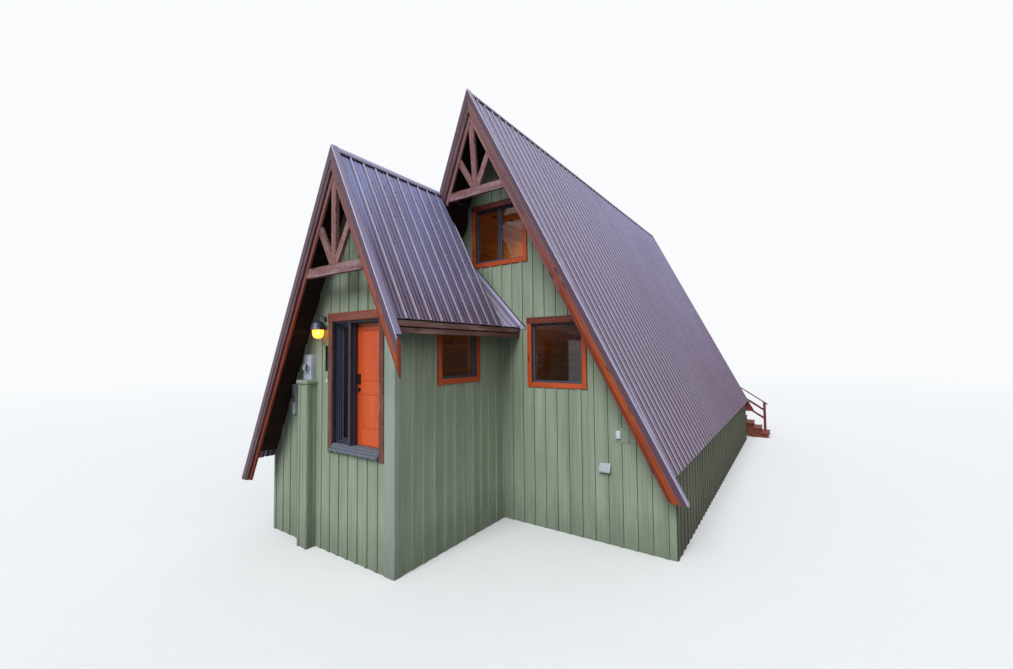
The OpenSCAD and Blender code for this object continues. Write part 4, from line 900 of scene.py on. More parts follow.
footCut, ridgeCut, wingRidgeCut = plane((0, 0, foot), zAxis), plane((0, 0, 0), xAxis), plane((wingX, 0, 0), xAxis)
wingTailCut, trimEndCut = plane((eave + 0.170, 0, 0), xAxis), plane((0, 0, wingEaveHeight - 0.230), zAxis)
prowOut, wingOut, rearOut = flipped(prowPlane(0)), flipped(crossCut(wingFront)), crossCut(rearRake)
rakeBoards = {"thick": 0.038, "outer": 0.172, "inner": 0.248, "wingOuter": 0.152, "wingInner": 0.214, "edge": 0.003}
rakes = {    # slope, rake plane, cut at the foot, cut at the ridge, height of a joint in the boards, outer finish, name, node
    "frontRight": (rightSlope, prowOut, footCut, ridgeCut, [5.92], "rake", "frontRakeRight", "front_barge_right"),
    "frontLeft": (leftSlope, prowOut, under(wingSlope, -0.020), ridgeCut, [], "rakeLeft", "frontRakeLeft", "front_barge_left"),
    "wingLeft": (leftSlope, wingOut, footCut, wingRidgeCut, [4.4], "rakeLeft", "wingRakeLeft", "wing_barge_left"),
    "wingRight": (wingSlope, wingOut, wingTailCut, wingRidgeCut, [], "rake", "wingRakeRight", "wing_barge_right"),
    "rearRight": (rightSlope, rearOut, footCut, ridgeCut, [4.6], "rake", "rearRakeRight", "rear_barge_right"),
    "rearLeft": (leftSlope, rearOut, footCut, ridgeCut, [5.1], "rake", "rearRakeLeft", "rear_barge_left"),
}


def alongRake(frame, cut):
    origin, u, v, along = frame
    return meet(plane(origin, v.normalized()), plane(origin, u.normalized()), cut)


def rakeBoard(parts, frame, low, high, deep, near, far, joints):
    origin, u, v, along = frame
    places = [alongRake(frame, plane((0, 0, z), zAxis)) for z in joints]
    starts = [low] + [plane(p + along * 0.0015, along) for p in places]
    ends = [plane(p - along * 0.0015, along) for p in places] + [high]
    for a, b in zip(starts, ends):
        bar(parts, rect(-deep, -pan - 0.001, -far, -near), (origin, u, v), along, a, b, rakeBoards["edge"])


for key, (slope, rake, low, high, joints, finish, name, node) in rakes.items():
    thick = rakeBoards["thick"]
    outerDeep, innerDeep = (rakeBoards[k] for k in (("wingOuter", "wingInner") if key.startswith("wing") else ("outer", "inner")))
    outer, inner = Parts(31), Parts(32)
    place = rakeFrame(under(slope, 0), rake)
    rakeBoard(outer, place, low, high, outerDeep, 0.0005, thick, joints)
    rakeBoard(inner, place, low, high, innerDeep, thick, 2 * thick, [z - 1.4 for z in joints])
    outer.build(name, finish, "rake_boards", node)
    inner.build(name + "Inner", "rakeInner", "rake_boards", node)
print("rake boards up")

trims = {"flange": 0.115, "drop": 0.080, "thick": 0.0058, "over": 0.0202, "piece": 3.1, "lap": 0.06}
flange, drop, over = -trims["flange"], -trims["drop"], trims["over"]
trimTop = over + trims["thick"]
# round the trim: height, distance out, tone (low tones paint shade on the face and flange edge, high tones a painted
# highlight on the fold)
trimShape = [(over, flange, 0.0), (trimTop, flange, 0.2), (trimTop, flange + 0.010, 0.55), (trimTop, -0.004, 0.6),
             (trimTop - 0.0006, 0.0008, 1.0), (trimTop - 0.0025, 0.0040, 1.0), (trimTop - 0.0060, 0.0060, 0.8),
             (trimTop - 0.0100, 0.0062, 0.1), (0.0, 0.0062, 0.05), (drop + 0.012, 0.0062, 0.0), (drop, 0.0095, 0.3),
             (drop - 0.001, 0.0065, 0.0), (drop + 0.010, 0.0004, 0.0), (over - 0.001, 0.0004, 0.0)]
rakeTrims, trimScrews = Parts(33), Parts(34)
for key, (slope, rake, low, high, *rest) in rakes.items():
    origin, u, v, along = place = rakeFrame(under(slope, 0), rake)
    if key == "frontLeft":
        low = under(wingSlope, -0.034)
    start, stop = (alongRake(place, cut) for cut in (low, high))
    span = (stop - start).dot(along)
    runs, run = [], trims["piece"] - 0.55
    while run < span - 0.7:
        runs.append(run)
        run += trims["piece"]
    begins = [low] + [plane(start + along * run, along) for run in runs]
    ends = [plane(start + along * run + along * trims["lap"], along) for run in runs] + [high]
    for k, (begin, end) in enumerate(zip(begins, ends)):
        lift = 0.0011 * (k % 2)
        shape = [(a + (lift if a > 0.001 else 0), b + (lift if b > 0.001 else 0), c) for a, b, c in trimShape]
        if key == "wingRight" and k == 0:     # the flange is cut level above the plumb tail
            foldedBar(rakeTrims, shape[3:], (origin, u, v), along, begin, end)
            shape, begin = shape[:4] + [(over, -0.004, 0.1)], trimEndCut
        foldedBar(rakeTrims, shape, (origin, u, v), along, begin, end)
    run = 0.35
    while run < span - 0.1:
        if key != "wingRight" or run > 0.5:
            screw(trimScrews, start + along * run + u * trimTop - v * 0.075, u.normalized(), 0.005)
        run += 0.62
rakeTrims.build("rakeTrims", "trims", "roofing", "rake_trims", smooth=35)
trimScrews.build("trimScrews", "screws", "roofing")
print("ridge caps and rake trims folded")

trusses = {  # apex, height of the collar, depth of the rake boards over it, tilt, front face and its foot
    "main": (ridgeTop, 6.505, 0.248, leftTilt, -prowFoot, foot),
    "wing": (wingTop, 4.690, 0.214, 0.0, wingFront, 0.0),
}
trussSizes = {"deep": 0.074, "in": 0.046, "collar": 0.158, "king": 0.118, "strut": 0.110, "angle": 61.0, "edge": 0.005}
for key, (apex, collar, rakeDeep, tilt, faceY, faceFoot) in trusses.items():
    sizes, timber = trussSizes, Parts(41)
    up, inwards = Vector((0, -math.sin(tilt), math.cos(tilt))), Vector((0, math.cos(tilt), math.sin(tilt)))
    base = Vector((apex.x, faceY, faceFoot)) + up * ((collar - faceFoot) / up.z)
    rise = (apex.z - rakeDeep / cosP - collar) / up.z
    place = (base + inwards * sizes["in"], xAxis, up, inwards)
    low, high, king, wide = -sizes["collar"] / 2, sizes["collar"] / 2, sizes["king"] / 2, sizes["strut"] / 2
    ax, az = math.cos(math.radians(sizes["angle"])), math.sin(math.radians(sizes["angle"]))
    members = [(rect(-3, 3, low, high), [], 0.0, (1, 0), 0.35), (rect(-king, king, high + 0.001, 3), [], 0.004, (0, 1), 0.6)]
    for side in (1, -1):
        bx = side * ax
        strut = [(-az * wide * side, bx * wide * side), (az * wide * side, -bx * wide * side),
                 (az * wide * side + bx * 3, -bx * wide * side + az * 3), (-az * wide * side + bx * 3, bx * wide * side + az * 3)]
        members.append((strut, [(0, high + 0.001, 0, -1), (side * (king + 0.001), 0, -side, 0)], 0.008, (bx, az), 0.45 + 0.3 * side))
    for shape, cuts, inset, grain, tone in members:
        for line in [(0, rise, tanP, 1.0), (0, rise, -tanP, 1.0)] + cuts:
            shape = clip(shape, *line)
        slab(timber, shape, place, inset, sizes["deep"] - inset, sizes["edge"], grain=grain, tone=tone)
    timber.build(key + "GableTruss", "truss", "truss_timber", key + "_gable_truss")

fascia = {"upperFace": eave - 0.017, "thick": 0.038, "step": 0.090, "low": wingEaveHeight - 0.202, "lowerThick": 0.024}
eaveBoards, gapShadeBoard = Parts(42), Parts(43)
fasciaPlace = sideways(fascia["upperFace"] - fascia["thick"])
y0, y1, split = wingFront + 0.077, -0.002, fascia["low"] + fascia["step"]
slab(eaveBoards, rect(y0, y1, split + 0.010, wingEaveHeight - 0.020), fasciaPlace, 0.0, fascia["thick"], 0.003, grain=(1, 0), tone=0.9)
slab(eaveBoards, rect(y0, y1, fascia["low"], split - 0.010), fasciaPlace, 0.0, fascia["lowerThick"], 0.003, grain=(1, 0), tone=0.05)
eaveBoards.build("eaveFascia", "fascia", "rake_boards", "eave_fascia")
# a dark board behind the gap between the fascia boards: painted shade in the gap
slab(gapShadeBoard, rect(y0, y1, split - 0.012, split + 0.012), fasciaPlace, 0.0, 0.006, 0.0, grain=(1, 0))
gapShadeBoard.build("fasciaGapShade", "soffit", "rake_boards")
print("trusses and fascia up")

casing = {"wide": 0.095, "head": 0.128, "out": 0.036, "ear": 0.012, "proud": 0.004, "edge": 0.003, "reveal": 0.012}
sash = {"wide": 0.052, "in": 0.030, "deep": 0.070, "frame": 0.030, "opening": 0.026}
w, head, out, ear, proud, edge, reveal = casing.values()
sideBoards, headBoards, sashes, liners = Parts(51), Parts(52), Parts(53), Parts(54)
back, face, frameWide, openWide = -sash["in"] - sash["deep"], -sash["in"], sash["frame"], sash["opening"]
frameShape = [(0, back), (frameWide, back), (frameWide, face - 0.006), (0.026, face), (0, face)]
bead = [(0, back + 0.012), (0.024, back + 0.012), (0.024, face - 0.030), (0.018, face - 0.014), (0, face - 0.010)]
openShape = [(0, face - 0.020), (openWide, face - 0.020), (openWide, face - 0.009), (0.021, face - 0.006), (0, face - 0.006)]
liner = [(0, -wall - 0.012), (0.016, -wall - 0.012), (0.016, back + 0.002), (0, back + 0.002)]
innerCasing = [(0, -wall - 0.018), (0.070, -wall - 0.018), (0.070, -wall), (0, -wall)]
for side, key in (("front", "lower"), ("front", "upper"), ("wingSide", "side"), ("rear", "rearLow"), ("rear", "rearDoor"),
                  ("rear", "upper")):
    x0, x1, z0, z1, panes = openings[key]
    place, headLow = faces[side], z1 - head
    slab(sideBoards, rect(x0, x0 + w, z0, headLow), place, 0.0, out, edge)
    slab(sideBoards, rect(x1 - w, x1, z0, headLow), place, 0.0, out, edge)
    slab(sideBoards, rect(x0 + w + 0.001, x1 - w - 0.001, z0, z0 + w), place, 0.0, out - 0.002, edge, grain=(1, 0))
    slab(headBoards, rect(x0 - ear, x1 + ear, headLow + 0.001, z1), place, 0.0, out + proud, edge, grain=(1, 0))
    hole = (x0 + w - reveal, x1 - w + reveal, z0 + w - reveal, headLow + reveal)

    def around(parts, grow, shape):
        mitredFrame(parts, hole[0] - grow, hole[1] + grow, hole[2] - grow, hole[3] + grow, shape, place)

    around(sashes, 0, frameShape)
    wide = (hole[1] - hole[0] - (panes - 1) * sash["wide"]) / panes
    low, high = hole[2] + 0.028, hole[3] - 0.028
    for k in range(panes):
        a = hole[0] + k * (wide + sash["wide"])
        left, right = a + (-0.002 if k else frameWide), a + wide - (frameWide if k == panes - 1 else -0.002)
        if k:
            slab(sashes, rect(a - sash["wide"], a, low, high), place, back, face, 0.003)
        mitredFrame(sashes, left, right, low, high, bead, place, 0.0015)
        if panes == 2 and k == 0:      # the opening half has a second, narrower frame in front
            mitredFrame(sashes, left + 0.004, right - 0.004, low + 0.004, high - 0.004, openShape, place, 0.001)
    around(liners, 0.002, liner)
    around(liners, 0.06, innerCasing)
sideBoards.build("windowCasings", "cedar", "casing_wood", "window_casings")
headBoards.build("windowHeads", "cedarHead", "casing_wood", "window_casings")
sashes.build("windowSashes", "frames", "window_frame", "window_sashes")
liners.build("windowLiners", "pine", "inside_wood")
print("windows: casings, sashes, liners")


def box(parts, x0, x1, y0, y1, z0, z1, edge=0.002, steps=1, grain=(0, 1), tone=None):
    slab(parts, rect(x0, x1, z0, z1), facing(y1), 0.0, y1 - y0, edge, steps, grain, tone)


front, back, level = -wingLength, -wingLength + wall, (1, 0)
posts, header = Parts(61), Parts(62)
for x in (postLeft, postRight):
    box(posts, x, x + postWide, front - postOut, front, postFoot, roughTop, 0.004)
posts.build("entryPosts", "posts", "entry_posts", "entry_trim")
box(header, postLeft - headerEar, postRight + postWide + headerEar, front - postOut - 0.006, front, roughTop + 0.001, headerTop,
    0.005, grain=level, tone=0.5)
header.build("entryHeader", "header", "entry_posts", "entry_trim")

doorway = {"left": -1.0475, "right": -0.2725, "liteLeft": -1.5175, "liteRight": -1.1075, "leafY": -2.740, "leafThick": 0.045,
           "stop": 0.018, "stopY": -2.815}
doorLeft, doorRight, liteLeft, liteRight, leafY, leafThick, stop, stopY = doorway.values()
jambs, jambTop, stopBack = Parts(63), roughTop - jamb, leafY - 0.0075
for x0, x1, top in ((roughLeft, liteLeft, roughTop), (doorRight, roughRight, roughTop), (liteRight, doorLeft, jambTop)):
    box(jambs, x0, x1, front - 0.001, back, sillTop, top, 0.003)
box(jambs, liteLeft, doorRight, front - 0.001, back, jambTop, roughTop, 0.003, grain=level)
for x0, x1 in ((doorLeft, doorLeft + stop), (doorRight - stop, doorRight)):
    box(jambs, x0, x1, stopY, stopBack, sillTop, jambTop, 0.003)
box(jambs, doorLeft, doorRight, stopY, stopBack, jambTop - stop, jambTop, 0.003, grain=level)
for inset, depth in ((0.0, 0.120), (0.020, 0.100), (0.038, 0.078), (0.055, 0.0)):     # mouldings in front of the fixed light
    shape = [(0, 0.004), (0.022, 0.004), (0.022, depth - 0.006), (0.016, depth), (0, depth)]
    if not depth:
        shape = [(0, 0.002), (0.0325, 0.002), (0.0325, 0.030), (0.020, 0.050), (0, 0.056)]
    mitredFrame(jambs, liteLeft + inset, liteRight - inset, sillTop + inset, jambTop - inset, shape, facing(back), 0.001)
jambs.build("entryJambs", "jambs", "window_frame", "entry_frame")

ledges, ledgeTop = Parts(64), sillTop - 0.001
sillLeft, sillRight = roughLeft + postLap + 0.001, roughRight - postLap - 0.001
box(ledges, sillLeft, sillRight, front - 0.025, front, floorTop, ledgeTop, 0.004, grain=level)
box(ledges, roughLeft, roughRight, front, back, floorTop, ledgeTop, 0.003, grain=level)
for i in (1, 2):
    box(ledges, sillLeft, sillRight, front - i * ledgeOut, front, floorTop - i * ledgeHigh, floorTop - (i - 1) * ledgeHigh - 0.001,
        0.005, 2, level)
ledges.build("entryLedges", "sill", "window_frame", "entry_frame")

hinge = {"x": -0.27625, "y": -2.686, "knuckle": 0.020, "ends": 0.2}
leaf = {"left": -1.040, "right": -0.280, "low": 1.8475, "high": 3.8715, "stile": 0.105, "topRail": 0.114, "lockRail": 0.205,
        "bottomRail": 0.265, "lowerPanel": 0.570, "panelIn": 0.010, "fieldIn": 0.034}
leafLeft, leafRight, leafLow, leafHigh, stile, topRail, lockRail, bottomRail, lowerPanel, panelIn, fieldIn = leaf.values()
hinges = Parts(65)
barrel = [(0.0045, -0.056), (0.0055, -0.052), (0.0055, -0.050)]
for k in range(5):
    low = -0.050 + k * hinge["knuckle"]
    barrel += [(0.007, low + 0.0006), (0.007, low + 0.0194), (0.0062, low + 0.0197)]
barrel += [(0.0055, 0.050), (0.0055, 0.052), (0.0045, 0.056)]
for z in (leafLow + hinge["ends"], (leafLow + leafHigh) / 2, leafHigh - hinge["ends"]):
    turned(hinges, barrel, Vector((hinge["x"], hinge["y"], z)), zAxis, 18)
    box(hinges, hinge["x"] + 0.002, hinge["x"] + 0.036, back - 0.0005, back + 0.004, z - 0.05, z + 0.05, 0.001)
hinges.build("doorHinges", "black", "window_frame", "entry_frame", smooth=40)

door = Parts(66)
doorFront, doorBack = leafY, leafY + leafThick
doorSides = ((doorFront, -yAxis), (doorBack, yAxis))
lowPanel, upTop = leafLow + bottomRail, leafHigh - topRail
midRail = lowPanel + lowerPanel
upPanel = midRail + lockRail
panelLeft, panelRight = leafLeft + stile, leafRight - stile
for x0, x1 in ((leafLeft, panelLeft), (panelRight, leafRight)):
    box(door, x0, x1, doorFront, doorBack, leafLow, leafHigh)
for z0, z1 in ((leafLow, lowPanel), (midRail, upPanel), (upTop, leafHigh)):
    box(door, panelLeft + 0.0005, panelRight - 0.0005, doorFront, doorBack, z0, z1, grain=level)
moulding = [(0, -0.012), (0.014, -0.012), (0.012, -0.007), (0.008, -0.003), (0.003, -0.0005), (0, -0.0005)]
field = ((0.0, -0.022), (0.0, -panelIn), (0.016, -panelIn), (fieldIn - 0.003, -0.0042), (fieldIn, -0.0030))
for y, out in doorSides:
    for z0, z1 in ((lowPanel, midRail), (upPanel, upTop)):
        mitredFrame(door, panelLeft - 0.002, panelRight + 0.002, z0 - 0.002, z1 + 0.002, moulding, facing(y, out), 0.0)
        outer = [Vector(p) for p in rect(panelLeft - 0.001, panelRight + 0.001, z0 - 0.001, z1 + 0.001)]
        rings, grains = [], []
        for inset, depth in field:      # the raised field with its bevel
            ring = shrunk(outer, inset) if inset else outer
            rings.append([Vector((0, y, 0)) + xAxis * p.x + zAxis * p.y + out * depth for p in ring])
            grains.append([Vector((p.y, p.x, depth)) for p in ring])
        door.add(rings, grains)
door.build("entryDoor", "door", "door_wood", "entry_door", body="door")

hardware = {"x": leafLeft + 0.060, "knob": leafLow + 0.920, "bolt": leafLow + 1.090}
knob = [(0.033, 0.0), (0.033, 0.004), (0.030, 0.008), (0.020, 0.010), (0.0125, 0.013), (0.0115, 0.018), (0.0125, 0.026), (0.021, 0.031),
        (0.0268, 0.038), (0.0285, 0.044), (0.0268, 0.051), (0.019, 0.0565), (0.006, 0.058)]
metalwork, shiny = Parts(67), Parts(68)
for y, out in doorSides:
    spot = Vector((hardware["x"], y, hardware["knob"]))
    turned(metalwork, knob, spot, out, 36)
    turned(shiny, [(0.0065, 0.0578), (0.0065, 0.0590), (0.004, 0.0594)], spot, out, 20)


def plate(parts, x, z, wide, high, place, *rest):
    slab(parts, rect(x - wide, x + wide, z - high, z + high), place, *rest)


x, z = hardware["x"], hardware["bolt"]
slab(metalwork, rect(x - 0.034, x + 0.034, z - 0.082, z + 0.083), facing(doorFront), 0.0, 0.023, 0.006, 3)
for row in range(4):
    for column in range(3):
        spot = Vector((x - 0.018 + column * 0.018, doorFront, z + 0.055 - row * 0.021))
        turned(metalwork, [(0.0065, 0.022), (0.0065, 0.0238), (0.0050, 0.0246)], spot, -yAxis, 14)
turned(shiny, [(0.0125, 0.022), (0.0125, 0.0245), (0.009, 0.0252)], Vector((x, doorFront, z - 0.050)), -yAxis, 24)
plate(metalwork, x, z, 0.030, 0.060, facing(doorBack, yAxis), 0.0, 0.014, 0.005, 3)
plate(metalwork, x, z, 0.019, 0.006, facing(doorBack, yAxis), 0.014, 0.0225, 0.002, 2)
metalwork.build("doorHardware", "black", "black_metal", "door_hardware", body="door", smooth=35)
shiny.build("doorHardwareBrass", "brass", "black_metal", "door_hardware", body="door", smooth=35)
print("entry: posts, jambs, panelled door, hardware")

lamp = {"x": -1.750, "out": 0.150, "z": 3.856, "bend": 0.066}
ironwork, amber, bulb = Parts(71), Parts(72), Parts(73)
lampX, lampY, lampZ, bend = lamp["x"], front - lamp["out"], lamp["z"], lamp["bend"]
centre = Vector((lampX, lampY, lampZ))
wallRose = [(0.030, 0.0), (0.055, 0.0), (0.055, 0.006), (0.050, 0.010), (0.046, 0.010), (0.040, 0.016), (0.020, 0.018)]
turned(ironwork, wallRose, Vector((lampX, front, lampZ + 0.112)), -yAxis, 40)
arm = [Vector((lampX, front - 0.010, lampZ + 0.100))]
for k in range(25):
    turn = math.pi * k / 24
    arm.append(Vector((lampX, lampY + bend + math.cos(turn) * bend, lampZ + 0.100 + math.sin(turn) * bend)))
tube(ironwork, arm + [centre + zAxis * 0.078], 0.0085, 16)
shade = [(0.006, 0.086), (0.022, 0.084), (0.050, 0.076), (0.080, 0.058), (0.101, 0.034), (0.113, 0.002), (0.120, -0.034),
         (0.127, -0.062), (0.132, -0.070)]
jar = [(0.080, -0.064), (0.088, -0.072), (0.091, -0.100), (0.089, -0.135), (0.083, -0.170), (0.069, -0.202), (0.043, -0.220),
       (0.012, -0.226)]
for profile, sides in (
        ([(0.017, 0.100), (0.020, 0.095), (0.020, 0.089), (0.013, 0.084)], 28),
        (shade + [(0.1315, -0.074), (0.125, -0.0735)] + [(r - 0.005, z - 0.005) for r, z in reversed(shade[2:-1])] + [(0.006, 0.080)], 64),
        ([(0.086, -0.062), (0.095, -0.062), (0.096, -0.070), (0.095, -0.078), (0.087, -0.078)], 48),
        ([(0.006, -0.222), (0.012, -0.224), (0.012, -0.229), (0.006, -0.234), (0.003, -0.236)], 20)):
    turned(ironwork, profile, centre, zAxis, sides)
turned(amber, jar + [(max(0.012, r - 0.005), z + 0.004) for r, z in reversed(jar)], centre, zAxis, 96, 24, 0.018)
turned(bulb, [(0.012, -0.050), (0.014, -0.080), (0.028, -0.104), (0.032, -0.126), (0.028, -0.148), (0.014, -0.162), (0.003, -0.165)],
       centre, zAxis, 28)
ironwork.build("wallLantern", "lantern", "lantern_metal", "wall_lantern", smooth=35)
amber.build("lanternGlass", "amber", "amber_glass", "lantern_glass", smooth=50)
bulb.build("lanternBulb", "bulb", "amber_glass", "lantern_glass", smooth=50)

enclosure = {"x": -2.290, "wide": 0.285, "deep": 0.180, "high": 2.840, "cap": 0.060}
ex, ew, ed, eh, capHigh = enclosure.values()
cover = Parts(74)
box(cover, ex + 0.010, ex + ew - 0.010, front - ed + 0.010, front, 0.0, eh, 0.003)
for a, b, out in ((0.004, 0.058, 0.008), (0.062, 0.222, -0.004), (0.226, 0.281, 0.008)):
    slab(cover, rect(ex + a, ex + b, 0.0, eh), facing(front - ed), -0.012, out, 0.003)
for x, out in ((ex + ew, xAxis), (ex, -xAxis)):
    for a, b, h in ((0.004, 0.060, 0.006), (0.064, 0.118, -0.006), (0.122, 0.176, 0.006)):
        slab(cover, rect(a, b, 0.0, eh), sideways(x, out, -yAxis, front), -0.012, h, 0.003)
box(cover, ex - 0.028, ex + ew + 0.028, front - ed - 0.030, front, eh + 0.001, eh + capHigh, 0.005, grain=level)
cover.build("meterEnclosure", "siding", "siding", "meter_enclosure")

meterBox = {"wide": 0.245, "deep": 0.105, "high": 0.450}
mw, md, mh = meterBox.values()
mx, mz = ex + (ew - mw) / 2, eh + capHigh + 0.001
meter, dial, dome = Parts(75), Parts(76), Parts(77)
slab(meter, rect(mx, mx + mw, mz, mz + mh), facing(front), 0.0, md - 0.014, 0.006, 3)
slab(meter, rect(mx + 0.004, mx + mw - 0.004, mz + 0.090, mz + mh - 0.004), facing(front), md - 0.014, md, 0.005, 2)
slab(meter, rect(mx + 0.004, mx + mw - 0.004, mz + 0.004, mz + 0.086), facing(front), md - 0.014, md - 0.002, 0.005, 2)
for a, b in ((0.022, 0.040), (0.223, 0.040), (0.022, 0.428), (0.223, 0.428)):
    turned(meter, [(0.006, 0.0), (0.006, 0.003), (0.003, 0.004)], Vector((mx + a, front - md + 0.001, mz + b)), -yAxis, 12)
middle = Vector((mx + mw / 2, front - md, mz + 0.231))
turned(meter, [(0.062, 0.0), (0.086, 0.0), (0.0865, 0.010), (0.085, 0.026), (0.081, 0.030), (0.0735, 0.031), (0.0735, 0.026),
               (0.070, 0.024), (0.020, 0.022)], middle, -yAxis, 56)
turned(dial, [(0.020, 0.022), (0.058, 0.0225), (0.060, 0.026), (0.054, 0.027), (0.052, 0.024), (0.010, 0.024)], middle, -yAxis, 48)
turned(dome, [(0.070, 0.028), (0.0725, 0.032), (0.071, 0.044), (0.064, 0.051), (0.050, 0.0545), (0.010, 0.055)], middle, -yAxis, 56)
for k in range(5):
    spot = middle + xAxis * (-0.032 + 0.016 * k) + zAxis * (0.014 - 0.004 * abs(k - 2))
    turned(dial, [(0.0075, 0.024), (0.0075, 0.0262), (0.005, 0.0266)], spot, -yAxis, 16)
plate(dial, middle.x, middle.z - 0.022, 0.026, 0.008, facing(middle.y), 0.023, 0.0265, 0.001)
meter.build("meterBox", "meter", "grey_metal", "meter_box", smooth=35)
dial.build("meterDial", "dial", "grey_metal", "meter_box", smooth=35)
dome.build("meterDome", "glass", "grey_metal", "meter_box", smooth=60)

plaque, greys, whites, block = Parts(81), Parts(82), Parts(83), Parts(84)
wallPlace, mainPlace = faces["wingFront"], faces["front"]
slab(plaque, rect(-1.740, -1.658, 3.065, 3.501), wallPlace, 0.0, 0.015, 0.004, 2)
for z in (3.082, 3.484):
    turned(plaque, [(0.005, 0.014), (0.005, 0.0165), (0.003, 0.0175)], Vector((-1.699, front, z)), -yAxis, 12)
slab(whites, rect(-1.716, -1.682, 2.855, 2.929), wallPlace, 0.0, 0.016, 0.006, 3)
turned(whites, [(0.0105, 0.015), (0.0105, 0.020), (0.008, 0.0215)], Vector((-1.699, front, 2.880)), -yAxis, 24)
for z0, z1 in ((2.600, 2.800), (2.266, 2.470)):
    slab(greys, rect(-2.698, -2.602, z0, z1), wallPlace, 0.0, 0.050, 0.004, 2)
    slab(greys, rect(-2.700, -2.600, z0 - 0.002, z1 + 0.002), wallPlace, 0.050, 0.070, 0.006, 3)
    turned(greys, [(0.006, 0.069), (0.006, 0.072), (0.004, 0.0728)], Vector((-2.650, front, z0 + 0.018)), -yAxis, 12)
slab(greys, rect(-2.672, -2.628, 2.470, 2.600), wallPlace, 0.0, 0.034, 0.006, 2)
box(greys, 2.132, 2.328, -0.030, 0.0, 1.240, 1.405, 0.003)
hood = sideways(2.130, right=-yAxis)      # vent hood: sloping top and cheeks round an open, louvred mouth
cheek = [(0.0, 1.240), (0.092, 1.240), (0.092, 1.268), (0.028, 1.403), (0.0, 1.405)]
hoodTop = [(0.092, 1.246), (0.092, 1.270), (0.028, 1.405), (0.0, 1.405), (0.0, 1.400), (0.025, 1.400), (0.088, 1.268), (0.088, 1.246)]
for shape, a, b, edge in [(cheek, 0.0, 0.004, 0.001), (cheek, 0.196, 0.200, 0.001), (hoodTop, 0.002, 0.198, 0.0008)] + [
        ([(0.030, z), (0.052, z - 0.014), (0.053, z - 0.012), (0.031, z + 0.002)], 0.004, 0.196, 0.0005) for z in (1.262, 1.292, 1.322)]:
    slab(greys, shape, hood, a, b, edge)
slab(block, rect(2.374, 2.670, 1.790, 2.036), mainPlace, 0.0, 0.024, 0.003)
slab(whites, rect(2.440, 2.530, 1.845, 1.985), mainPlace, 0.024, 0.046, 0.005, 2)
slab(whites, rect(2.444, 2.526, 1.849, 1.981), mainPlace, 0.048, 0.066, 0.010, 3)
turned(whites, [(0.004, -0.036), (0.005, -0.034), (0.005, 0.034), (0.004, 0.036)], Vector((2.485, -0.050, 1.983)), xAxis, 16)
block.build("outletBlock", "siding", "fittings", "wall_fixtures")
plaque.build("numberPlaque", "black", "fittings", "wall_fixtures", smooth=35)
greys.build("wallBoxes", "boxes", "fittings", "wall_fixtures")
whites.build("outletAndBell", "white", "fittings", "wall_fixtures", smooth=35)
print("lantern, meter and wall fittings made")

deck = {"x0": -1.600, "x1": 1.750, "y0": 11.170, "deep": 1.580, "top": 1.755, "slab": 0.040, "joist": 0.190, "joistWide": 0.050,
        "post": 0.140, "risers": 10, "going": 0.260, "stairWide": 0.960, "tread": 0.040, "rail": 0.960, "railPost": 0.090, "cap": 0.015,
        "boards": 11, "middleRails": (0.30, 0.64), "railHigh": 0.090, "railThick": 0.040}
(dx0, dx1, dy0, deep, deckTop, boardThick, joist, joistWide, post, risers, going, stairWide, tread, rail, railPost, cap,
 boardCount, middleRails, railHigh, railThick) = deck.values()
dy1, deckUnder = dy0 + deep, deckTop - boardThick
wood, stair, rear, slope, sides = Parts(91), Parts(92), Parts(93), Parts(94), Parts(95)
step = (deep - 0.004) / boardCount
for k in range(boardCount):
    y = dy0 + 0.004 + k * step
    box(wood, dx0, dx1, y, y + step - 0.006, deckUnder, deckTop, 0.004, grain=level)
for y in (dy0, dy1 - joistWide):
    box(wood, dx0, dx1, y, y + joistWide, deckUnder - joist, deckUnder - 0.001, 0.003, grain=level)
for i in range(4):
    x = dx0 + i * (dx1 - dx0 - joistWide) / 3
    slab(wood, rect(dy0 + 0.052, dy1 - 0.052, deckUnder - joist, deckUnder - 0.001), sideways(x), 0.0, joistWide, 0.003, grain=level)
for x in (dx0 + 0.060, dx1 - post - 0.060):
    y = dy1 - post - 0.060
    box(wood, x, x + post, y, y + post, 0.0, deckUnder - 0.002, 0.006)
wood.build("rearDeck", "stain", "deck_wood", "rear_deck")

rise = deckTop / risers
fall = rise / going
stairY = dy1 - stairWide
stairEnd = dx1 + (risers - 1) * going
topLine = deckTop - rise - tread
saw = [(dx1, topLine - 0.320), (dx1, topLine)]
for i in range(1, risers - 1):
    saw += [(dx1 + i * going, deckTop - i * rise - tread), (dx1 + i * going, deckTop - (i + 1) * rise - tread)]
saw += [(stairEnd, rise - tread), (stairEnd, 0.0), (dx1 + (topLine - 0.320) / fall, 0.0)]


def lengthways(parts, shape, y, *rest, grain=(0, 1)):
    slab(parts, shape, facing(y, yAxis), 0.0, *rest, grain=grain)


downhill = (0.83, -0.56)
for y in (stairY + 0.030, dy1 - joistWide - 0.030):
    lengthways(stair, saw, y, joistWide, 0.0025, grain=downhill)
for i in range(1, risers):
    x, z = dx1 + (i - 1) * going, deckTop - i * rise
    for a, b in ((0.002, 0.136), (0.142, 0.275)):
        slab(stair, rect(stairY, stairY + stairWide, z - tread, z), sideways(x + a), 0.0, b - a, 0.004, grain=level)
stair.build("rearStair", "stain", "deck_wood", "rear_stair")


def standPost(parts, x, y):
    box(parts, x, x + railPost, y, y + railPost, deckTop, deckTop + rail, 0.005)


def railAlongY(x, y0, y1, z, high, wide):
    slab(sides, rect(y0, y1, z, z + high), sideways(x), 0.0, wide, 0.004, grain=level)


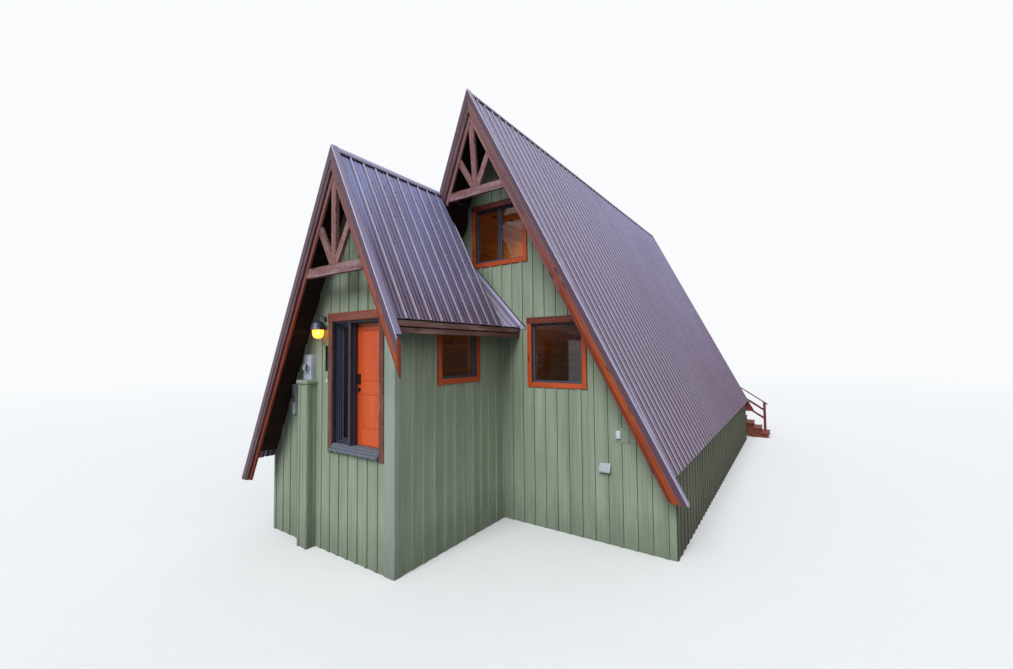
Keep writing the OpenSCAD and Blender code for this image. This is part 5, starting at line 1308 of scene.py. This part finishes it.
railY, endX, capWide, railTop = dy1 - railPost, dx1 - railPost, railPost + 2 * cap, deckTop + rail
for x in (dx0, (dx0 + endX) / 2, endX):
    standPost(rear, x, railY)
for k in middleRails:
    z = deckTop + k * rail
    box(rear, dx0 + 0.01, dx1 - 0.01, railY + 0.025, railY + 0.065, z, z + railHigh, 0.004, grain=level)
box(rear, dx0, dx1, railY - cap, dy1 + cap, railTop, railTop + 0.040, 0.006, grain=level)
rear.build("rearRailing", "stain", "deck_wood", "rear_railing")

for number in (5, 9):
    x = dx1 + (number - 1) * going + 0.060
    low, top = deckTop - number * rise, railTop - (x - dx1) * fall
    lengthways(slope, [(x, low), (x + railPost, low), (x + railPost, top - railPost * fall), (x, top)], railY, railPost, 0.004)
lastX = dx1 + 8 * going + 0.060 + railPost
for h, tall, y0, wide, endAt in [(k * rail, railHigh, railY + 0.025, railThick, lastX) for k in middleRails] + [
        (rail, 0.040, railY - cap, capWide, lastX + 0.060)]:
    z, drop = deckTop + h, (endAt - dx1) * fall
    lengthways(slope, [(dx1, z), (endAt, z - drop), (endAt, z + tall - drop), (dx1, z + tall)], y0, wide, 0.004, grain=downhill)
slope.build("stairRailing", "stain", "deck_wood", "stair_railing")

firstY, gateY = dy0 + casing["out"] + 0.010, stairY - railPost
for x, y in ((dx0, firstY), (endX, firstY), (endX, gateY)):
    standPost(sides, x, y)
for k in middleRails:
    railAlongY(dx0 + 0.025, firstY + 0.01, railY, deckTop + k * rail, railHigh, railThick)
    railAlongY(endX + 0.025, firstY + 0.01, gateY, deckTop + k * rail, railHigh, railThick)
railAlongY(dx0 - cap, firstY, railY - cap, railTop, 0.040, capWide)
railAlongY(endX - cap, firstY, stairY, railTop, 0.040, capWide)
sides.build("sideRailings", "stain", "deck_wood", "side_railing")
print("rear deck, stair and railings built")

kept = {     # finishes on the parts that keep their CAD shape
    "sidingShadeBack": ["wing_wall_left", "wing_wall_right", "wing_wall_over_door", "wing_wall_under_door", "wing_side_wall",
                   "main_wall_right", "main_wall_upper", "main_rear_wall", "right_skirt_wall", "left_skirt_wall"],
    "floor": ["main_floor", "wing_floor", "loft_floor"],
    "soffitCad": ["wing_roof_deck", "cricket_deck"],
    "glass": ["window_glass"],
}
for finish, names in kept.items():
    for name in names:
        mesh = frame["nodes"][name].data
        if not mesh.materials:
            mesh.materials.append(finishes[finish])
        for i in range(len(mesh.materials)):
            mesh.materials[i] = finishes[finish]

studio = {"floorColour": (0.74, 0.75, 0.76, 1.0), "floorBounce": (0.10, 0.10, 0.095, 1.0), "floorRadius": 90,
          "horizonLight": 0.20, "skyLight": 0.82, "skyColour": (0.93, 0.96, 1.0, 1.0), "backdrop": (0.95, 0.965, 0.98, 1.0),
          "keyPower": 2.7, "keyAngle": 34, "keyFrom": (0.12, -1.0, 0.85), "fillPower": 0.5, "fillAngle": 50, "fillFrom": (1.0, -0.1, 0.7)}
floorMesh = bpy.data.meshes.new("studioFloor")
rim = [(x, y, -0.002) for x, y in circle(64, studio["floorRadius"])]
floorMesh.from_pydata([(0, 0, -0.002)] + rim, [], [(0, 1 + k, 1 + (k + 1) % 64) for k in range(64)])
floor = bpy.data.objects.new("studioFloor", floorMesh)
bpy.context.scene.collection.objects.link(floor)
f = Finish("studioFloor")


def seenDirectly(f):
    rays = f.node("LightPath").outputs
    return f.math("MAXIMUM", f.math("MAXIMUM", rays["Is Camera Ray"], rays["Is Glossy Ray"]), rays["Is Transmission Ray"])


away = f.node("VectorMath", {0: f.node("TexCoord").outputs["Object"]}, operation="LENGTH").outputs["Value"]
grit = f.noise(f.coords("x"), 3, 3)
tone = f.mix(f.remap(grit, 0.3, 0.7), studio["floorColour"], shaded(studio["floorColour"][:3], 0.985) + (1.0,))
f.put(f.shader.inputs["Base Color"], f.mix(seenDirectly(f), studio["floorBounce"], tone))
f.shader.inputs["Roughness"].default_value = 0.9
f.shader.inputs["Specular IOR Level"].default_value = 0.1
glow = f.node("Emission", {"Color": studio["backdrop"], "Strength": 1.0}).outputs["Emission"]
blend = f.node("MixShader", {0: f.remap(away, 16.0, 60.0), 1: f.shader.outputs["BSDF"], 2: glow})
f.put(f.tree.nodes["Material Output"].inputs["Surface"], blend.outputs["Shader"])
floorMesh.materials.append(f.material)


class Surroundings(Finish):
    def __init__(self, world):
        world.use_nodes = True
        self.tree = world.node_tree
        self.tree.nodes.clear()


world = bpy.data.worlds.new("studio")
bpy.context.scene.world = world
f = Surroundings(world)
rise = f.node("SeparateXYZ", {0: f.node("TexCoord").outputs["Generated"]}).outputs["Z"]
overhead = f.remap(rise, 0.0, 1.0, studio["horizonLight"], studio["skyLight"])
light = f.node("Background", {"Color": studio["skyColour"], "Strength": overhead})
shown = f.node("Background", {"Color": studio["backdrop"], "Strength": 1.0})
both = f.node("MixShader", {0: seenDirectly(f), 1: light.outputs[0], 2: shown.outputs[0]})
f.node("OutputWorld", {"Surface": both.outputs[0]})


def lampOf(name, kind, power):
    data = bpy.data.lights.new(name, kind)
    data.energy = power
    made = bpy.data.objects.new(name, data)
    bpy.context.scene.collection.objects.link(made)
    return made


for key in ("key", "fill"):
    sun = lampOf(key + "Light", "SUN", studio[key + "Power"])
    sun.data.angle = math.radians(studio[key + "Angle"])
    sun.rotation_euler = Vector(studio[key + "From"]).to_track_quat("Z", "Y").to_euler()
for name, spot, power in (("loftLamp", (-0.5, 2.4, 5.6), 14), ("roomLamp", (0.3, 4.6, 3.9), 20), ("wingLamp", (-1.4, -0.6, 3.9), 5)):
    inside = lampOf(name, "POINT", power)
    inside.data.shadow_soft_size = 0.15
    inside.data.color = (1.0, 0.78, 0.52)
    inside.location = Vector(spot) - shift
    inside.visible_transmission = inside.visible_glossy = False

view = {"place": (4.85127, -11.9117, 3.3676), "yaw": 34.3948, "pitch": 2.3633, "roll": -0.5235, "lens": 15.042}
yaw, pitch, roll = (math.radians(view[k]) for k in ("yaw", "pitch", "roll"))
forward = Vector((-math.sin(yaw) * math.cos(pitch), math.cos(yaw) * math.cos(pitch), math.sin(pitch)))
right = Vector((math.cos(yaw), math.sin(yaw), 0.0))
up = right.cross(forward)
rolled = (right * math.cos(roll) + up * math.sin(roll), up * math.cos(roll) - right * math.sin(roll), -forward)
cameraData = bpy.data.cameras.new("photoCamera")
cameraData.lens = view["lens"]
cameraData.sensor_width = 36.0
cameraData.clip_end = 400
camera = bpy.data.objects.new("photoCamera", cameraData)
camera.matrix_world = Matrix.Translation(view["place"]) @ Matrix(rolled).transposed().to_4x4()
bpy.context.scene.collection.objects.link(camera)
bpy.context.scene.camera = camera
bpy.context.scene.view_settings.view_transform = "Standard"
print("stage, light and camera set")
